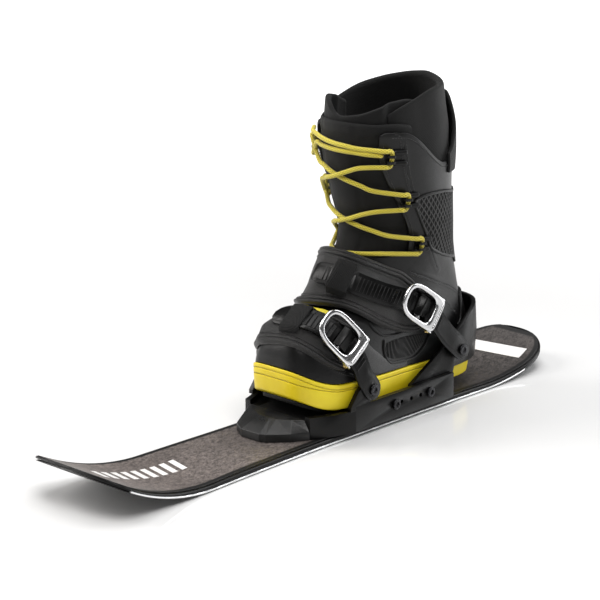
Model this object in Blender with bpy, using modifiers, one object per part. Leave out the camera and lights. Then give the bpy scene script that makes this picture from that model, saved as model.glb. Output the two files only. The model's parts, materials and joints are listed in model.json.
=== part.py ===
"""A short ski (skiboard) with a two-strap binding and the boot that is strapped into it.

Blender 4.5, metres. X points to the tip of the ski, Y to the buckle side, Z up. The origin is on the
ground under the middle of the ski, in the plane of its running base.
"""
import math

import bmesh
import bpy
import numpy as np
from mathutils import Matrix, Vector
from mathutils.bvhtree import BVHTree

# General clearances
GAP = 0.0003
NEARBY = 0.0015
PIN_PLAY = 0.0003
SOFT_PLAY = 0.0008
LINER_PLAY = 0.0013

# Ski
SKI_LENGTH = 0.650
WAIST_WIDTH = 0.101
TIP_WIDTH = 0.115
TAIL_WIDTH = 0.108
BLUNT_END = 0.0004
WIDTH_GAUGE_AT = 0.230
SKI_THICK = 0.0080
END_THICK = 0.0060
TIP_RISE = 0.041
TIP_BEND_AT = 0.188
TAIL_RISE = 0.0256
TAIL_BEND_AT = 0.206
TIP_ROUND = 0.035
TAIL_ROUND = 0.065
BASE_THICK = 0.0020
EDGE_WIDTH = 0.0022
TOPSHEET_THICK = 0.0007
TOPSHEET_BORDER = 0.0030
CORE_SHOULDER = 0.0018
EDGE_SHORT_OF_TIP = 0.020
EDGE_SHORT_OF_TAIL = 0.055

# Boot sole and stance
BOOT_LENGTH = 0.275
LAST_LENGTH = 0.275
HEEL_AT = -0.2155
BALL_HEIGHT = 0.0230
BOOT_TILT = math.radians(3.8)
TOE_SPRING = 0.017
SPRING_FROM = 0.225
MIDSOLE_THICK = 0.026
OUTSOLE_THICK = 0.0040
OUTSOLE_INSET = 0.0080
GROOVE_DEPTH = 0.0007
GROOVE_WIDTH = 0.0007
SHELL_WALL = 0.0035
TONGUE_THICK = 0.0025
LINER_FOAM = 0.0070
CUFF_SIDE = 0.268
CUFF_REAR = 0.226
THROAT_HEIGHT = 0.142
TONGUE_TOP = 0.276
SHAFT_LEVELS = [0.144, 0.157, 0.172, 0.190, 0.215, 0.245, 0.268]
COLLAR_FRONT = 0.296
COLLAR_REAR = 0.315
OVERLAY_THICK = 0.0010
LACE_RADIUS = 0.0024
HOOK_PLATE = 0.0012
LACE_OVER = 0.0054
LACE_BEND = math.radians(46)
LACE_STEP = 0.028
PULL_LOOP_AT = 0.196
PULL_LOOP_LONG = 0.056
PULL_LOOP_WIDE = 0.016
PULL_LOOP_SEAM = 0.008
PULL_LOOP_BOW = 0.0045
LOOP_WEBBING = 0.0016
HOOK_WIDE = 0.0030
HOOK_SPACING = 0.0064
HOOK_HALF = HOOK_SPACING / 2 + HOOK_WIDE / 2 + 0.0010
HOOK_REAR = 0.0050
HOOK_FRONT = 0.0048
HOOK_HEIGHTS = (0.2455, 0.2005, 0.1525)
HOOK_PAST_SLOT = math.radians(9)
BOOT_COLUMNS = 30
LINER_COLUMNS = 22
SLOT_CELLS = 5

# Boot cross-sections parallel to the sole, heel end and toe end measured from the heel:
# height, heel end, toe end, half width at the heel, half width at the ball, squareness
SOLE_SECTIONS = (
    (0.000, 0.0020, 0.2710, 0.0410, 0.0490, 4.0),
    (0.026, 0.0000, 0.2735, 0.0430, 0.0510, 4.0),
)
UPPER_SECTIONS = (
    (0.026, 0.0015, 0.2718, 0.0418, 0.0496, 4.0),
    (0.031, 0.0018, 0.2717, 0.0420, 0.0496, 3.9),
    (0.040, 0.0035, 0.2712, 0.0427, 0.0493, 3.6),
    (0.052, 0.0060, 0.2685, 0.0430, 0.0480, 3.3),
    (0.066, 0.0090, 0.2605, 0.0430, 0.0460, 3.0),
    (0.077, 0.0115, 0.2495, 0.0430, 0.0440, 2.7),
    (0.085, 0.0135, 0.2350, 0.0430, 0.0420, 2.5),
    (0.094, 0.0160, 0.2140, 0.0430, 0.0410, 2.3),
    (0.108, 0.0200, 0.2035, 0.0430, 0.0405, 2.2),
    (0.129, 0.0270, 0.1930, 0.0445, 0.0405, 2.1),
    (0.144, 0.0310, 0.1860, 0.0470, 0.0420, 2.0),
    (0.162, 0.0360, 0.1805, 0.0500, 0.0450, 2.0),
    (0.201, 0.0425, 0.1905, 0.0540, 0.0520, 2.0),
    (0.250, 0.0470, 0.2050, 0.0580, 0.0570, 2.0),
    (0.270, 0.0500, 0.2065, 0.0590, 0.0580, 2.0),
    (0.290, 0.0560, 0.2070, 0.0580, 0.0570, 2.0),
    (0.315, 0.0620, 0.2060, 0.0570, 0.0550, 2.0),
)

# Binding base, heights above the ski
BASE_FRONT = 0.046
BASE_REAR = -0.150
FLOOR_THICK = 0.0050
RAIL_TOP = 0.0260
RAIL_WALL = 0.0050
SHOULDER_TOP = 0.0222
SHOULDER_FROM = -0.002
DECK_TOP = 0.0165
DECK_FROM = 0.007
DECK_WALL = 0.0075
BOOT_SIDE_PLAY = 0.0015
NOSE_FRONT = 0.084
NOSE_TOP = 0.0190
NOSE_FACET = 0.0080
NOSE_SLOPE = 0.0200
EAR_HEIGHT = 0.0392
EAR_RADIUS = 0.0125
NEAR_EAR_AT = -0.0245
FAR_EAR_AT = 0.0005
PAD_SIDE = 0.0320
HEEL_PAD_ENDS = (-0.146, -0.076)
TOE_PAD_REAR = -0.045
RAMP_TOP = 0.0188
MOUNT_SCREW_AT = (-0.105, -0.020)
MOUNT_SCREW_SIDE = 0.020
MOUNT_SHANK = 0.0025
MOUNT_HEAD = 0.0048
MOUNT_HEAD_THICK = 0.0022
MOUNT_DEPTH = 0.0040
MOUNT_SOCKET = 0.0022
MOUNT_SOCKET_DEEP = 0.0012

# Heel frame
FLANGE_THICK = 0.0042
FLANGE_FRONT = -0.052
FLANGE_TOP = 0.0225
UPRIGHT_FROM = -0.090
UPRIGHT_SLOPE = 0.55
FRAME_BOLTS_AT = (-0.0605, -0.1130)
SPARE_HOLES_AT = (-0.0700, -0.0845, -0.0985)
SPARE_HOLE_RADIUS = 0.0023
BOLT_HEIGHT = 0.0147
BOLT_SHANK = 0.0025
BOLT_HEAD = 0.0052
BOLT_HEAD_THICK = 0.0026
CUP_FROM = -0.150
CUP_BOTTOM = 0.0300
CUP_REAR_TOP = 0.0870
CUP_BULGE = 0.0015
CUP_PLAY = 0.0012
HEEL_SCREW_AT = -0.160
HEEL_SCREW_HEIGHT = 0.0490

# Straps and buckles
STRAP_SCREW_SHANK = 0.0028
STRAP_SCREW_HEAD = 0.0058
STRAP_SCREW_HEAD_THICK = 0.0022
LADDER_WIDTH = 0.0220
LADDER_THICK = 0.0020
LADDER_TEETH_SHARE = 0.66
ARM_WIDTH = 0.0230
TOOTH_HEIGHT = 0.0009
TOOTH_VALLEY = 0.0002
TOOTH_PITCH = 0.0042
PLAIN_STEP = 0.0070
SEAT_PLAY = 0.0005
BUCKLE_PLATE = 0.0012
BUCKLE_LENGTH = 0.034
BUCKLE_HALF = 0.0149
BUCKLE_WALL = 0.0018
LEVER_PIN_AT = (0.0115, 0.0090)
RELEASE_PIN_AT = (-0.0060, 0.0080)
PIN_BOSS = 0.0029
PIN_HEAD_THICK = 0.0008
PIVOT_PIN = 0.0017
RELEASE_PIN = 0.0012
LEVER_LENGTH = 0.056
LEVER_WIDTH = 0.0380
LEVER_OVERHANG = 0.0040
LEVER_THICK = 0.0026
LEVER_RISE = 0.0032
LEVER_BAR = 0.0046
DRUM_RADIUS = 0.0039
PAWL_TIP = 0.0050
SPRING_ROOM = 0.0040
SPRING_WIRE = 0.00035
SPRING_PITCH = 0.0010
KEEPER_LONG = 0.0190
KEEPER_THICK = 0.0016
KEEPER_PLAY = 0.0012
KEEPER_FOOT = 0.0060


def clear_scene():
    for obj in list(bpy.data.objects):
        bpy.data.objects.remove(obj)


clear_scene()
PARTS = bpy.data.collections.new("skiboard_with_boot")
CUTTERS = bpy.data.collections.new("cutters")
bpy.context.scene.collection.children.link(PARTS)
bpy.context.scene.collection.children.link(CUTTERS)


def material(name, colour, roughness, metallic=0.0):
    mat = bpy.data.materials.get(name) or bpy.data.materials.new(name)
    mat.use_nodes = True
    shader = mat.node_tree.nodes["Principled BSDF"]
    shader.inputs["Base Color"].default_value = (*colour, 1.0)
    shader.inputs["Roughness"].default_value = roughness
    shader.inputs["Metallic"].default_value = metallic
    return mat


def add_part(name, mesh, finish, smooth_angle=math.radians(35), place=None):
    """Makes the named object of one sub-part, with its own finish, at the place of its own axes."""
    obj = bpy.data.objects.new(name, mesh)
    if place is not None:
        obj.matrix_basis = place
    PARTS.objects.link(obj)
    colour, roughness, metallic = finish
    mesh.materials.clear()
    mesh.materials.append(material(name, colour, roughness, metallic))
    mesh.shade_smooth()
    mesh.set_sharp_from_angle(angle=smooth_angle)
    return obj


def add_copies(name, mesh, places, finish):
    """One object for each copy of a repeated piece, all sharing a mesh. A place is a matrix."""
    return [add_part(f"{name}_{n + 1}", mesh, finish, place=place) for n, place in enumerate(places)]


def mesh_from(vertices, faces, name="shape"):
    mesh = bpy.data.meshes.new(name)
    mesh.from_pydata([tuple(float(c) for c in v) for v in vertices], [], faces)
    mesh.update()
    return mesh


def mesh_from_bmesh(bm, name="shape"):
    bmesh.ops.recalc_face_normals(bm, faces=bm.faces)
    mesh = bpy.data.meshes.new(name)
    bm.to_mesh(mesh)
    bm.free()
    return mesh


def loft(rings, flat_ends=False):
    """Closed mesh through closed rings of points. The ends are closed flat, or across their width."""
    count = len(rings[0])
    vertices = [p for ring in rings for p in ring]
    faces = []
    for i in range(len(rings) - 1):
        for k in range(count):
            a = i * count + k
            b = i * count + (k + 1) % count
            faces.append((a, b, b + count, a + count))
    last = (len(rings) - 1) * count
    for k in range(0 if flat_ends else count // 2):
        lower = (k, k + 1, (count - k - 1) % count, (count - k) % count)
        lower = tuple(dict.fromkeys(lower))
        if len(lower) > 2:
            faces.append(lower[::-1])
            faces.append(tuple(last + n for n in lower))
    if flat_ends:
        faces.append(tuple(range(count))[::-1])
        faces.append(tuple(range(last, last + count)))
    mesh = mesh_from(vertices, faces)
    bm = bmesh.new()
    bm.from_mesh(mesh)
    bpy.data.meshes.remove(mesh)
    return mesh_from_bmesh(bm)


def sheet(grid, keep=None, wrap=False):
    """Open surface over a grid of points, with the cells that keep leaves out."""
    rows, columns = grid.shape[:2]
    faces = []
    for i in range(rows - 1):
        for k in range(columns if wrap else columns - 1):
            if keep is None or keep[i][k]:
                b = (k + 1) % columns
                faces.append((i * columns + k, i * columns + b, (i + 1) * columns + b, (i + 1) * columns + k))
    return mesh_from(grid.reshape(-1, 3), faces)


def thicken(obj, thickness, inward=True):
    """Solidify from a surface whose faces point outward."""
    mod = obj.modifiers.new("wall", "SOLIDIFY")
    mod.thickness = thickness
    mod.offset = -1.0 if inward else 1.0
    return obj


def bevel(obj, width, segments=1, angle=math.radians(40)):
    mod = obj.modifiers.new("edge", "BEVEL")
    mod.width = width
    mod.segments = segments
    mod.limit_method = "ANGLE"
    mod.angle_limit = angle
    return obj


def cylinder(radius, depth, centre, axis=(0, 1, 0), sides=16, radius_far=None):
    """Solid cylinder or cone as a mesh, with its axis along the given direction."""
    bm = bmesh.new()
    far = radius if radius_far is None else radius_far
    bmesh.ops.create_cone(bm, cap_ends=True, segments=sides, radius1=radius, radius2=far, depth=depth)
    turn = Vector((0, 0, 1)).rotation_difference(Vector(axis).normalized()).to_matrix().to_4x4()
    bm.transform(Matrix.Translation(Vector(centre)) @ turn)
    return mesh_from_bmesh(bm)


def box(low, high):
    bm = bmesh.new()
    bmesh.ops.create_cube(bm, size=1.0)
    size = [h - l for l, h in zip(low, high)]
    middle = [(h + l) / 2 for l, h in zip(low, high)]
    bm.transform(Matrix.Translation(middle) @ Matrix.Diagonal((*size, 1.0)))
    return mesh_from_bmesh(bm)


def corners_only(points):
    """Outline without the points that lie on the line between their neighbours."""
    kept = []
    for n, point in enumerate(points):
        before, after = Vector(kept[-1] if kept else points[-1]), Vector(points[(n + 1) % len(points)])
        run = (after - before).normalized()
        side = Vector(point) - before
        if abs(run.cross(side)) > 0.000004:
            kept.append(point)
    return kept


def plate(outline, thickness, frame=None, holes=()):
    """Flat plate from a 2D outline, extruded by its thickness about the plane of the frame."""
    curve = bpy.data.curves.new("outline", "CURVE")
    curve.dimensions = "2D"
    curve.fill_mode = "BOTH"
    curve.extrude = thickness / 2
    for points in (corners_only(outline), *holes):
        spline = curve.splines.new("POLY")
        spline.points.add(len(points) - 1)
        for point, (x, y) in zip(spline.points, points):
            point.co = (x, y, 0.0, 1.0)
        spline.use_cyclic_u = True
    mesh = solid_from_curve(curve)
    if frame is not None:
        mesh.transform(frame)
    return mesh


def tube(points, radius, resolution=2):
    """Round bar or cord through the points, with flat closed ends."""
    curve = bpy.data.curves.new("route", "CURVE")
    curve.dimensions = "3D"
    curve.bevel_depth = radius
    curve.bevel_resolution = resolution
    curve.use_fill_caps = True
    spline = curve.splines.new("POLY")
    spline.points.add(len(points) - 1)
    for point, place in zip(spline.points, points):
        point.co = (*[float(c) for c in place], 1.0)
    return solid_from_curve(curve)


def solid_from_curve(curve):
    """Closed mesh of a curve object, with its caps welded on."""
    guide = bpy.data.objects.new("guide", curve)
    bpy.context.scene.collection.objects.link(guide)
    graph = bpy.context.evaluated_depsgraph_get()
    mesh = bpy.data.meshes.new_from_object(guide.evaluated_get(graph))
    bpy.data.objects.remove(guide)
    bm = bmesh.new()
    bm.from_mesh(mesh)
    bpy.data.meshes.remove(mesh)
    bmesh.ops.remove_doubles(bm, verts=bm.verts, dist=0.00002)
    return mesh_from_bmesh(bm)


def combine(obj, mesh, operation):
    """Boolean with a hidden cutter, or a piece to be joined, in the object's own axes."""
    tool = bpy.data.objects.new(obj.name + "_" + operation.lower(), mesh)
    CUTTERS.objects.link(tool)
    tool.matrix_basis = obj.matrix_basis
    tool.hide_render = True
    tool.display_type = "WIRE"
    mod = obj.modifiers.new(operation.lower(), "BOOLEAN")
    mod.operation = operation
    mod.solver = "EXACT"
    mod.object = tool
    return obj


def cut(obj, mesh):
    return combine(obj, mesh, "DIFFERENCE")


def join(obj, mesh):
    return combine(obj, mesh, "UNION")


def ease(value, low, high):
    """Smooth step from 0 at low to 1 at high."""
    t = np.clip((np.asarray(value, float) - low) / (high - low), 0.0, 1.0)
    return t * t * (3 - 2 * t)


# Finishes: colour, roughness, metallic
BLACK_PLASTIC = ((0.022, 0.022, 0.024), 0.45, 0.0)
GREY_PLASTIC = ((0.045, 0.046, 0.050), 0.42, 0.0)
LADDER_PLASTIC = ((0.040, 0.044, 0.055), 0.35, 0.0)
STRAP_FOAM = ((0.035, 0.034, 0.035), 0.55, 0.0)
STEEL = ((0.62, 0.62, 0.64), 0.25, 1.0)
CHROME = ((0.80, 0.80, 0.82), 0.12, 1.0)
BRASS = ((0.75, 0.55, 0.20), 0.30, 1.0)
DARK_STEEL = ((0.10, 0.10, 0.11), 0.35, 1.0)
YELLOW = ((0.80, 0.62, 0.035), 0.45, 0.0)
SHELL = ((0.050, 0.050, 0.055), 0.50, 0.0)
TEXTILE = ((0.014, 0.014, 0.015), 0.85, 0.0)
RUBBER = ((0.018, 0.018, 0.019), 0.75, 0.0)
TOPSHEET = ((0.085, 0.075, 0.070), 0.45, 0.0)
TRIM = ((0.10, 0.10, 0.105), 0.55, 0.0)
LACE_YELLOW = ((0.82, 0.66, 0.05), 0.80, 0.0)
GLOSS_BLACK = ((0.012, 0.012, 0.013), 0.25, 0.0)


# Ski
def ski_half_width(x):
    """Half width of the ski at x, with the sidecut and both rounded ends."""
    side = WAIST_WIDTH + (TIP_WIDTH - WAIST_WIDTH) * (x / WIDTH_GAUGE_AT) ** 2
    if x < 0:
        side = WAIST_WIDTH + (TAIL_WIDTH - WAIST_WIDTH) * (x / WIDTH_GAUGE_AT) ** 2
    rounding, power = (TIP_ROUND, 3.1) if x > 0 else (TAIL_ROUND, 2.55)
    into_end = (abs(x) - SKI_LENGTH / 2 + rounding) / rounding
    end = (1 - max(0.0, into_end) ** power) ** (1 / power)
    return side / 2 * end


def ski_lift(x):
    """Height of the running base above the ground, with the turned-up tip and tail."""
    tip = max(0.0, x - TIP_BEND_AT) / (SKI_LENGTH / 2 - TIP_BEND_AT)
    tail = max(0.0, -x - TAIL_BEND_AT) / (SKI_LENGTH / 2 - TAIL_BEND_AT)
    return TIP_RISE * tip ** 2 + TAIL_RISE * tail ** 2


def ski_top(x):
    return ski_lift(x) + SKI_THICK + (END_THICK - SKI_THICK) * ease(abs(x), 0.12, SKI_LENGTH / 2)


def ski_stations(low, high):
    """Places along the ski, closer together where the ends curve."""
    near_tip = SKI_LENGTH / 2 - TIP_ROUND
    near_tail = SKI_LENGTH / 2 - TAIL_ROUND
    stations = list(np.linspace(-near_tail, near_tip, 19))
    stations += [near_tip + TIP_ROUND * math.sin(a) for a in np.linspace(0.15, 1.42, 9)]
    stations += [-near_tail - TAIL_ROUND * math.sin(a) for a in np.linspace(0.15, 1.45, 10)]
    inside = [x for x in stations if low + 0.001 < x < high - 0.001]
    return sorted([low, *inside, high])


def ski_slab(low_of, high_of, inset_low, inset_high):
    """Layer of the ski between two heights, drawn in from the outline by the two insets."""
    rings = []
    end = SKI_LENGTH / 2 - max(BLUNT_END, inset_low)
    for x in ski_stations(-end, end):
        half = ski_half_width(x)
        low = max(0.001, half - inset_low)
        high = max(0.001, half - inset_high)
        under, over = low_of(x), high_of(x)
        rings.append([(x, -low, under), (x, low, under), (x, high, over), (x, -high, over)])
    return loft(rings)


def build_ski():
    base = add_part("ski_base", ski_slab(
        ski_lift, lambda x: ski_lift(x) + BASE_THICK, EDGE_WIDTH + GAP, EDGE_WIDTH + GAP), RUBBER)
    core_top = TOPSHEET_THICK + GAP
    core = add_part("ski_core", ski_slab(
        lambda x: ski_lift(x) + BASE_THICK + GAP, lambda x: ski_top(x) - core_top, 0.0, CORE_SHOULDER),
        BLACK_PLASTIC)
    topsheet = add_part("ski_topsheet", ski_slab(
        lambda x: ski_top(x) - TOPSHEET_THICK, ski_top, TOPSHEET_BORDER, TOPSHEET_BORDER), TOPSHEET)
    for side, name in ((1, "ski_edge_left"), (-1, "ski_edge_right")):
        rings = []
        for x in ski_stations(EDGE_SHORT_OF_TAIL - SKI_LENGTH / 2, SKI_LENGTH / 2 - EDGE_SHORT_OF_TIP):
            outer, inner = side * ski_half_width(x), side * (ski_half_width(x) - EDGE_WIDTH)
            low, high = ski_lift(x), ski_lift(x) + BASE_THICK
            rings.append([(x, inner, low), (x, outer, low), (x, outer, high), (x, inner, high)])
        add_part(name, loft(rings), STEEL)
    return core, topsheet


# Boot surface
def section(height, table):
    """Section values at a height, by a cubic through the key sections."""
    table = np.array(table)
    z, rows = table[:, 0], table[:, 1:]
    slope = np.gradient(rows, z, axis=0)
    i = np.clip(np.searchsorted(z, height, side="right") - 1, 0, len(z) - 2)
    step = (z[i + 1] - z[i])[..., None]
    t = ((height - z[i]) / (z[i + 1] - z[i]))[..., None]
    a = rows[i] * (2 * t ** 3 - 3 * t ** 2 + 1) + rows[i + 1] * (3 * t ** 2 - 2 * t ** 3)
    b = slope[i] * (t ** 3 - 2 * t ** 2 + t) + slope[i + 1] * (t ** 3 - t ** 2)
    return a + b * step


def boot_world(places):
    """World places of points given along, across and above the sole, with toe spring and tilt."""
    x, y, z = np.moveaxis(np.asarray(places, float), -1, 0)
    spring_from = SPRING_FROM * BOOT_LENGTH / LAST_LENGTH
    past_ball = np.clip(x - spring_from, 0.0, None) / (BOOT_LENGTH - spring_from)
    z = z + TOE_SPRING * past_ball ** 1.8
    along = x + HEEL_AT
    c, s = math.cos(BOOT_TILT), math.sin(BOOT_TILT)
    return np.stack([c * along - s * z, y, SKI_THICK + BALL_HEIGHT + s * along + c * z], -1)


def boot_skin(turn, height):
    """Boot's outer skin over a flat sole. The turn is 0 at the toe and a quarter turn at the buckles."""
    turn, height = np.broadcast_arrays(np.asarray(turn, float), np.asarray(height, float))
    in_sole = (height <= MIDSOLE_THICK)[..., None]
    values = np.where(in_sole, section(height, SOLE_SECTIONS), section(height, UPPER_SECTIONS))
    heel, toe, wide_heel, wide_ball, square = np.moveaxis(values, -1, 0)
    heel, toe = heel * BOOT_LENGTH / LAST_LENGTH, toe * BOOT_LENGTH / LAST_LENGTH
    c, s = np.cos(turn), np.sin(turn)
    x = (heel + toe) / 2 + (toe - heel) / 2 * np.sign(c) * np.abs(c) ** (2 / square)
    half = wide_heel + (wide_ball - wide_heel) * ease((x - heel) / (toe - heel), 0.35, 0.75)
    return np.stack([x, half * np.sign(s) * np.abs(s) ** (2 / square), height], -1)


def boot_point(turn, height, lift=0.0, level=False):
    """World point at a distance outside (or, below zero, inside) the skin, or level with the sole."""
    turn, height = np.broadcast_arrays(np.asarray(turn, float), np.asarray(height, float))
    around = boot_skin(turn + 0.02, height) - boot_skin(turn - 0.02, height)
    in_sole = height <= MIDSOLE_THICK
    above = np.where(in_sole, np.minimum(height + NEARBY, MIDSOLE_THICK), height + NEARBY)
    floor = np.where(in_sole, 0.0, MIDSOLE_THICK + 1e-6)
    below = np.maximum(height - NEARBY, floor)
    normal = np.cross(around, boot_skin(turn, above) - boot_skin(turn, below))
    if level:
        normal[..., 2] = 0.0
    normal /= np.linalg.norm(normal, axis=-1, keepdims=True)
    return boot_world(boot_skin(turn, height) + np.asarray(lift, float)[..., None] * normal)


SOLE_UP = np.array([-math.sin(BOOT_TILT), 0.0, math.cos(BOOT_TILT)])


def full_turn(count=BOOT_COLUMNS):
    return np.arange(count) * 2 * math.pi / count


def build_sole():
    turns = full_turn()
    under = boot_point(turns, np.zeros_like(turns), -OUTSOLE_INSET, level=True)
    rings = [under - SOLE_UP * (GAP + OUTSOLE_THICK), under - SOLE_UP * GAP]
    add_part("boot_outsole", loft([list(r) for r in rings]), RUBBER)
    heights, lifts = [0.0, 0.003, 0.012], [-0.0012, 0.0, 0.0]
    for groove in (MIDSOLE_THICK - 0.0095, MIDSOLE_THICK - 0.0055):
        heights += [groove - GROOVE_WIDTH, groove, groove + GROOVE_WIDTH]
        lifts += [0.0, -GROOVE_DEPTH, 0.0]
    heights += [MIDSOLE_THICK - 0.001, MIDSOLE_THICK]
    lifts += [0.0, -0.0008]
    rings = [boot_point(turns, np.full_like(turns, h), lift) for h, lift in zip(heights, lifts)]
    add_part("boot_midsole", loft([list(r) for r in rings]), YELLOW)


def slot_turn(height):
    """Half angle of the lacing slot at a height."""
    return math.radians(74) - math.radians(28) * ease(height, THROAT_HEIGHT, 0.250)


def cuff_top(turn):
    """Height of the top edge of the shell round the boot, lower behind."""
    back = np.abs((np.asarray(turn) + math.pi) % (2 * math.pi) - math.pi)
    return CUFF_REAR + (CUFF_SIDE - CUFF_REAR) * (1 - ease(back, math.radians(88), math.radians(142)))


def build_shell():
    """The outer boot: foot and cuff in one shell, open at the lacing slot and at the top."""
    count, slot_cells = BOOT_COLUMNS, SLOT_CELLS
    share = np.linspace(-1, 1, count, endpoint=False)
    low = [MIDSOLE_THICK + 2 * GAP, 0.033, 0.046, 0.058, 0.068, 0.076, 0.082, 0.088, 0.096, 0.108, 0.125]
    levels = np.concatenate([low, [THROAT_HEIGHT]])
    rises = np.linspace(0, 1, 8)[1:]
    grid = []
    edge_share = 2 * slot_cells / count
    for level in levels:
        base = math.radians(180) * edge_share
        edge = base + (slot_turn(THROAT_HEIGHT) - base) * ease(level, 0.10, THROAT_HEIGHT)
        grid.append(boot_point(warp(share, edge_share, edge), np.full(count, level), -0.0))
    for rise in rises:
        turn = warp(share, edge_share, slot_turn(THROAT_HEIGHT))
        for _ in range(3):
            height = THROAT_HEIGHT + (cuff_top(turn) - THROAT_HEIGHT) * rise
            turn = np.array([warp(s, edge_share, slot_turn(h)) for s, h in zip(share, height)])
        grid.append(boot_point(turn, height, -0.0))
    grid = np.array(grid)
    centre = count // 2
    keep = [[not (i >= len(levels) - 1 and centre - slot_cells <= k < centre + slot_cells)
             for k in range(count)] for i in range(len(grid) - 1)]
    closed = sheet(grid, wrap=True)
    skin = [v.co.copy() for v in closed.vertices], [list(f.vertices) for f in closed.polygons]
    bpy.data.meshes.remove(closed)
    shell = add_part("boot_shell", sheet(grid, keep, wrap=True), SHELL)
    return thicken(shell, SHELL_WALL), skin


def warp(share, edge_share, edge):
    """Turn for a share of the way round, with one column kept on the slot's edge."""
    share = np.asarray(share, float)
    size = np.abs(share)
    inner = size / edge_share * edge
    outer = edge + (size - edge_share) / (1 - edge_share) * (math.pi - edge)
    return np.sign(share) * np.where(size < edge_share, inner, outer)


def build_tongue():
    turns = np.radians(np.linspace(-82, 82, 13))
    heights = [0.134, *SHAFT_LEVELS, TONGUE_TOP]
    grid = []
    for height in heights:
        narrow = 1 - 0.22 * ease(height, 0.15, 0.26)
        grid.append(boot_point(turns * narrow, np.full(len(turns), height), -SHELL_WALL - SOFT_PLAY))
    tongue = add_part("boot_tongue", sheet(np.array(grid)), TEXTILE)
    return thicken(tongue, TONGUE_THICK)


def liner_lift(turn, height):
    """How far the liner's outside lies under the skin: deeper where the tongue is in front of it."""
    front = np.abs((np.asarray(turn) + math.pi) % (2 * math.pi) - math.pi)
    behind_tongue = (1 - ease(front, math.radians(86), math.radians(110))) * ease(height, 0.108, 0.128)
    return -(SHELL_WALL + LINER_PLAY) - (TONGUE_THICK + SOFT_PLAY) * behind_tongue


def build_liner():
    """Padded inner boot with its collar, a cup with the foot space inside."""
    turns = full_turn(LINER_COLUMNS)
    front = np.abs((turns + math.pi) % (2 * math.pi) - math.pi)
    top = COLLAR_FRONT + (COLLAR_REAR - COLLAR_FRONT) * ease(front, math.radians(40), math.radians(150))
    rings = []
    low = [MIDSOLE_THICK + SOFT_PLAY, 0.034, 0.050, 0.064, 0.074, 0.082, 0.088, 0.098, 0.112, 0.128]
    for level in low + SHAFT_LEVELS:
        depth = liner_lift(turns, level)
        rings.append(boot_point(turns, np.full_like(turns, level), depth, level=level < 0.03))
    for rise in (0.5, 1.0):
        height = SHAFT_LEVELS[-1] + (top - SHAFT_LEVELS[-1]) * rise
        rings.append(boot_point(turns, height, liner_lift(turns, height)))
    grid = np.array(rings)
    count = grid.shape[1]
    mesh = sheet(grid, wrap=True)
    bm = bmesh.new()
    bm.from_mesh(mesh)
    bpy.data.meshes.remove(mesh)
    bm.verts.ensure_lookup_table()
    for k in range(count // 2):
        corners = dict.fromkeys((k, k + 1, (count - k - 1) % count, (count - k) % count))
        bm.faces.new([bm.verts[n] for n in corners][::-1])
    liner = add_part("boot_liner", mesh_from_bmesh(bm), TEXTILE)
    mod = liner.modifiers.new("foam", "SOLIDIFY")
    mod.thickness = LINER_FOAM
    mod.offset = -1.0
    return liner


def settled(grid_of, lifts, tree, clearance):
    """Raises the points of a grid over a surface until none of its facets comes too close to it."""
    for _ in range(6):
        grid = grid_of(lifts)
        for i in range(len(lifts) - 1):
            for k in range(len(lifts[0]) - 1):
                corners = ((i, k), (i, k + 1), (i + 1, k), (i + 1, k + 1))
                for one, two in ((0, 1), (0, 2), (1, 3), (2, 3), (0, 3), (1, 2)):
                    sample = Vector((np.asarray(grid[corners[one]]) + np.asarray(grid[corners[two]])) / 2)
                    place, normal, _, _ = tree.find_nearest(sample)
                    short = clearance * 0.7 - (sample - place).dot(normal)
                    if 0 < short < 0.01:
                        lifts[corners[one]] += short
                        lifts[corners[two]] += short
    return lifts


def overlay(name, tree, edges, rows, finish, smooth_angle=math.radians(35)):
    """Thin piece on the shell. Each edge row is a turn and a low and a high height, degrees and mm."""
    table = np.array(edges, float)
    turns = np.radians(table[:, 0])
    low, high = table[:, 1], table[:, 2]
    heights = np.array([low + (high - low) * v for v in np.linspace(0, 1, rows)]) / 1000

    def grid_of(lifts):
        return boot_point(turns, heights, lifts)

    lifts = settled(grid_of, np.full(heights.shape, SEAT_PLAY), tree, SEAT_PLAY)
    grid = grid_of(lifts)
    if turns[-1] < turns[0]:
        grid = grid[:, ::-1]
    part = add_part(name, sheet(grid), finish, smooth_angle)
    return thicken(part, OVERLAY_THICK, inward=False)


def filled_rows(rows, steps):
    """The rows of a table with evenly spaced rows between them."""
    rows = np.array(rows, float)
    turns = np.linspace(rows[0, 0], rows[-1, 0], steps)
    order = np.argsort(rows[:, 0])
    return [(t, *[float(np.interp(t, rows[order, 0], rows[order, k])) for k in (1, 2)]) for t in turns]


# Pieces sewn on the shell, for the buckle side: turn in degrees, lower and upper edge in mm above the sole
QUARTER_BAND = ((77, 38, 58), (84, 31, 50), (93, 27.5, 41))
CALF_MESH = ((94, 176, 196), (100, 150, 208), (110, 137, 212), (122, 128, 210), (136, 122, 196),
             (146, 128, 176))
VAMP_HALF_TURN = 15
VAMP_CLEAR = 0.0030


def between_pads(turn):
    """A turn, and the lowest and highest place of the skin there that is clear of both straps' pads."""
    heights = np.linspace(2 * MIDSOLE_THICK, THROAT_HEIGHT, 400)
    points = boot_point(np.radians([turn]), heights[:, None])[:, 0]
    clear = np.full(len(heights), True)
    for strap, edge, way in ((TOE, 2, 1), (ANKLE, 1, -1)):
        away = points[:, ::2] - np.array(strap["screw"])
        c, s = math.cos(strap["slope"]), math.sin(strap["slope"])
        along = away[:, 0] * c + away[:, 1] * s - strap["core"]
        offset = away[:, 1] * c - away[:, 0] * s
        pad = np.array(strap["pad"], float)
        limit = np.interp(np.degrees(np.arctan2(along, points[:, 1])), pad[:, 0], pad[:, edge]) / 1000
        clear &= way * (offset - limit) > VAMP_CLEAR
    return turn, heights[clear][0] * 1000, heights[clear][-1] * 1000


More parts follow.
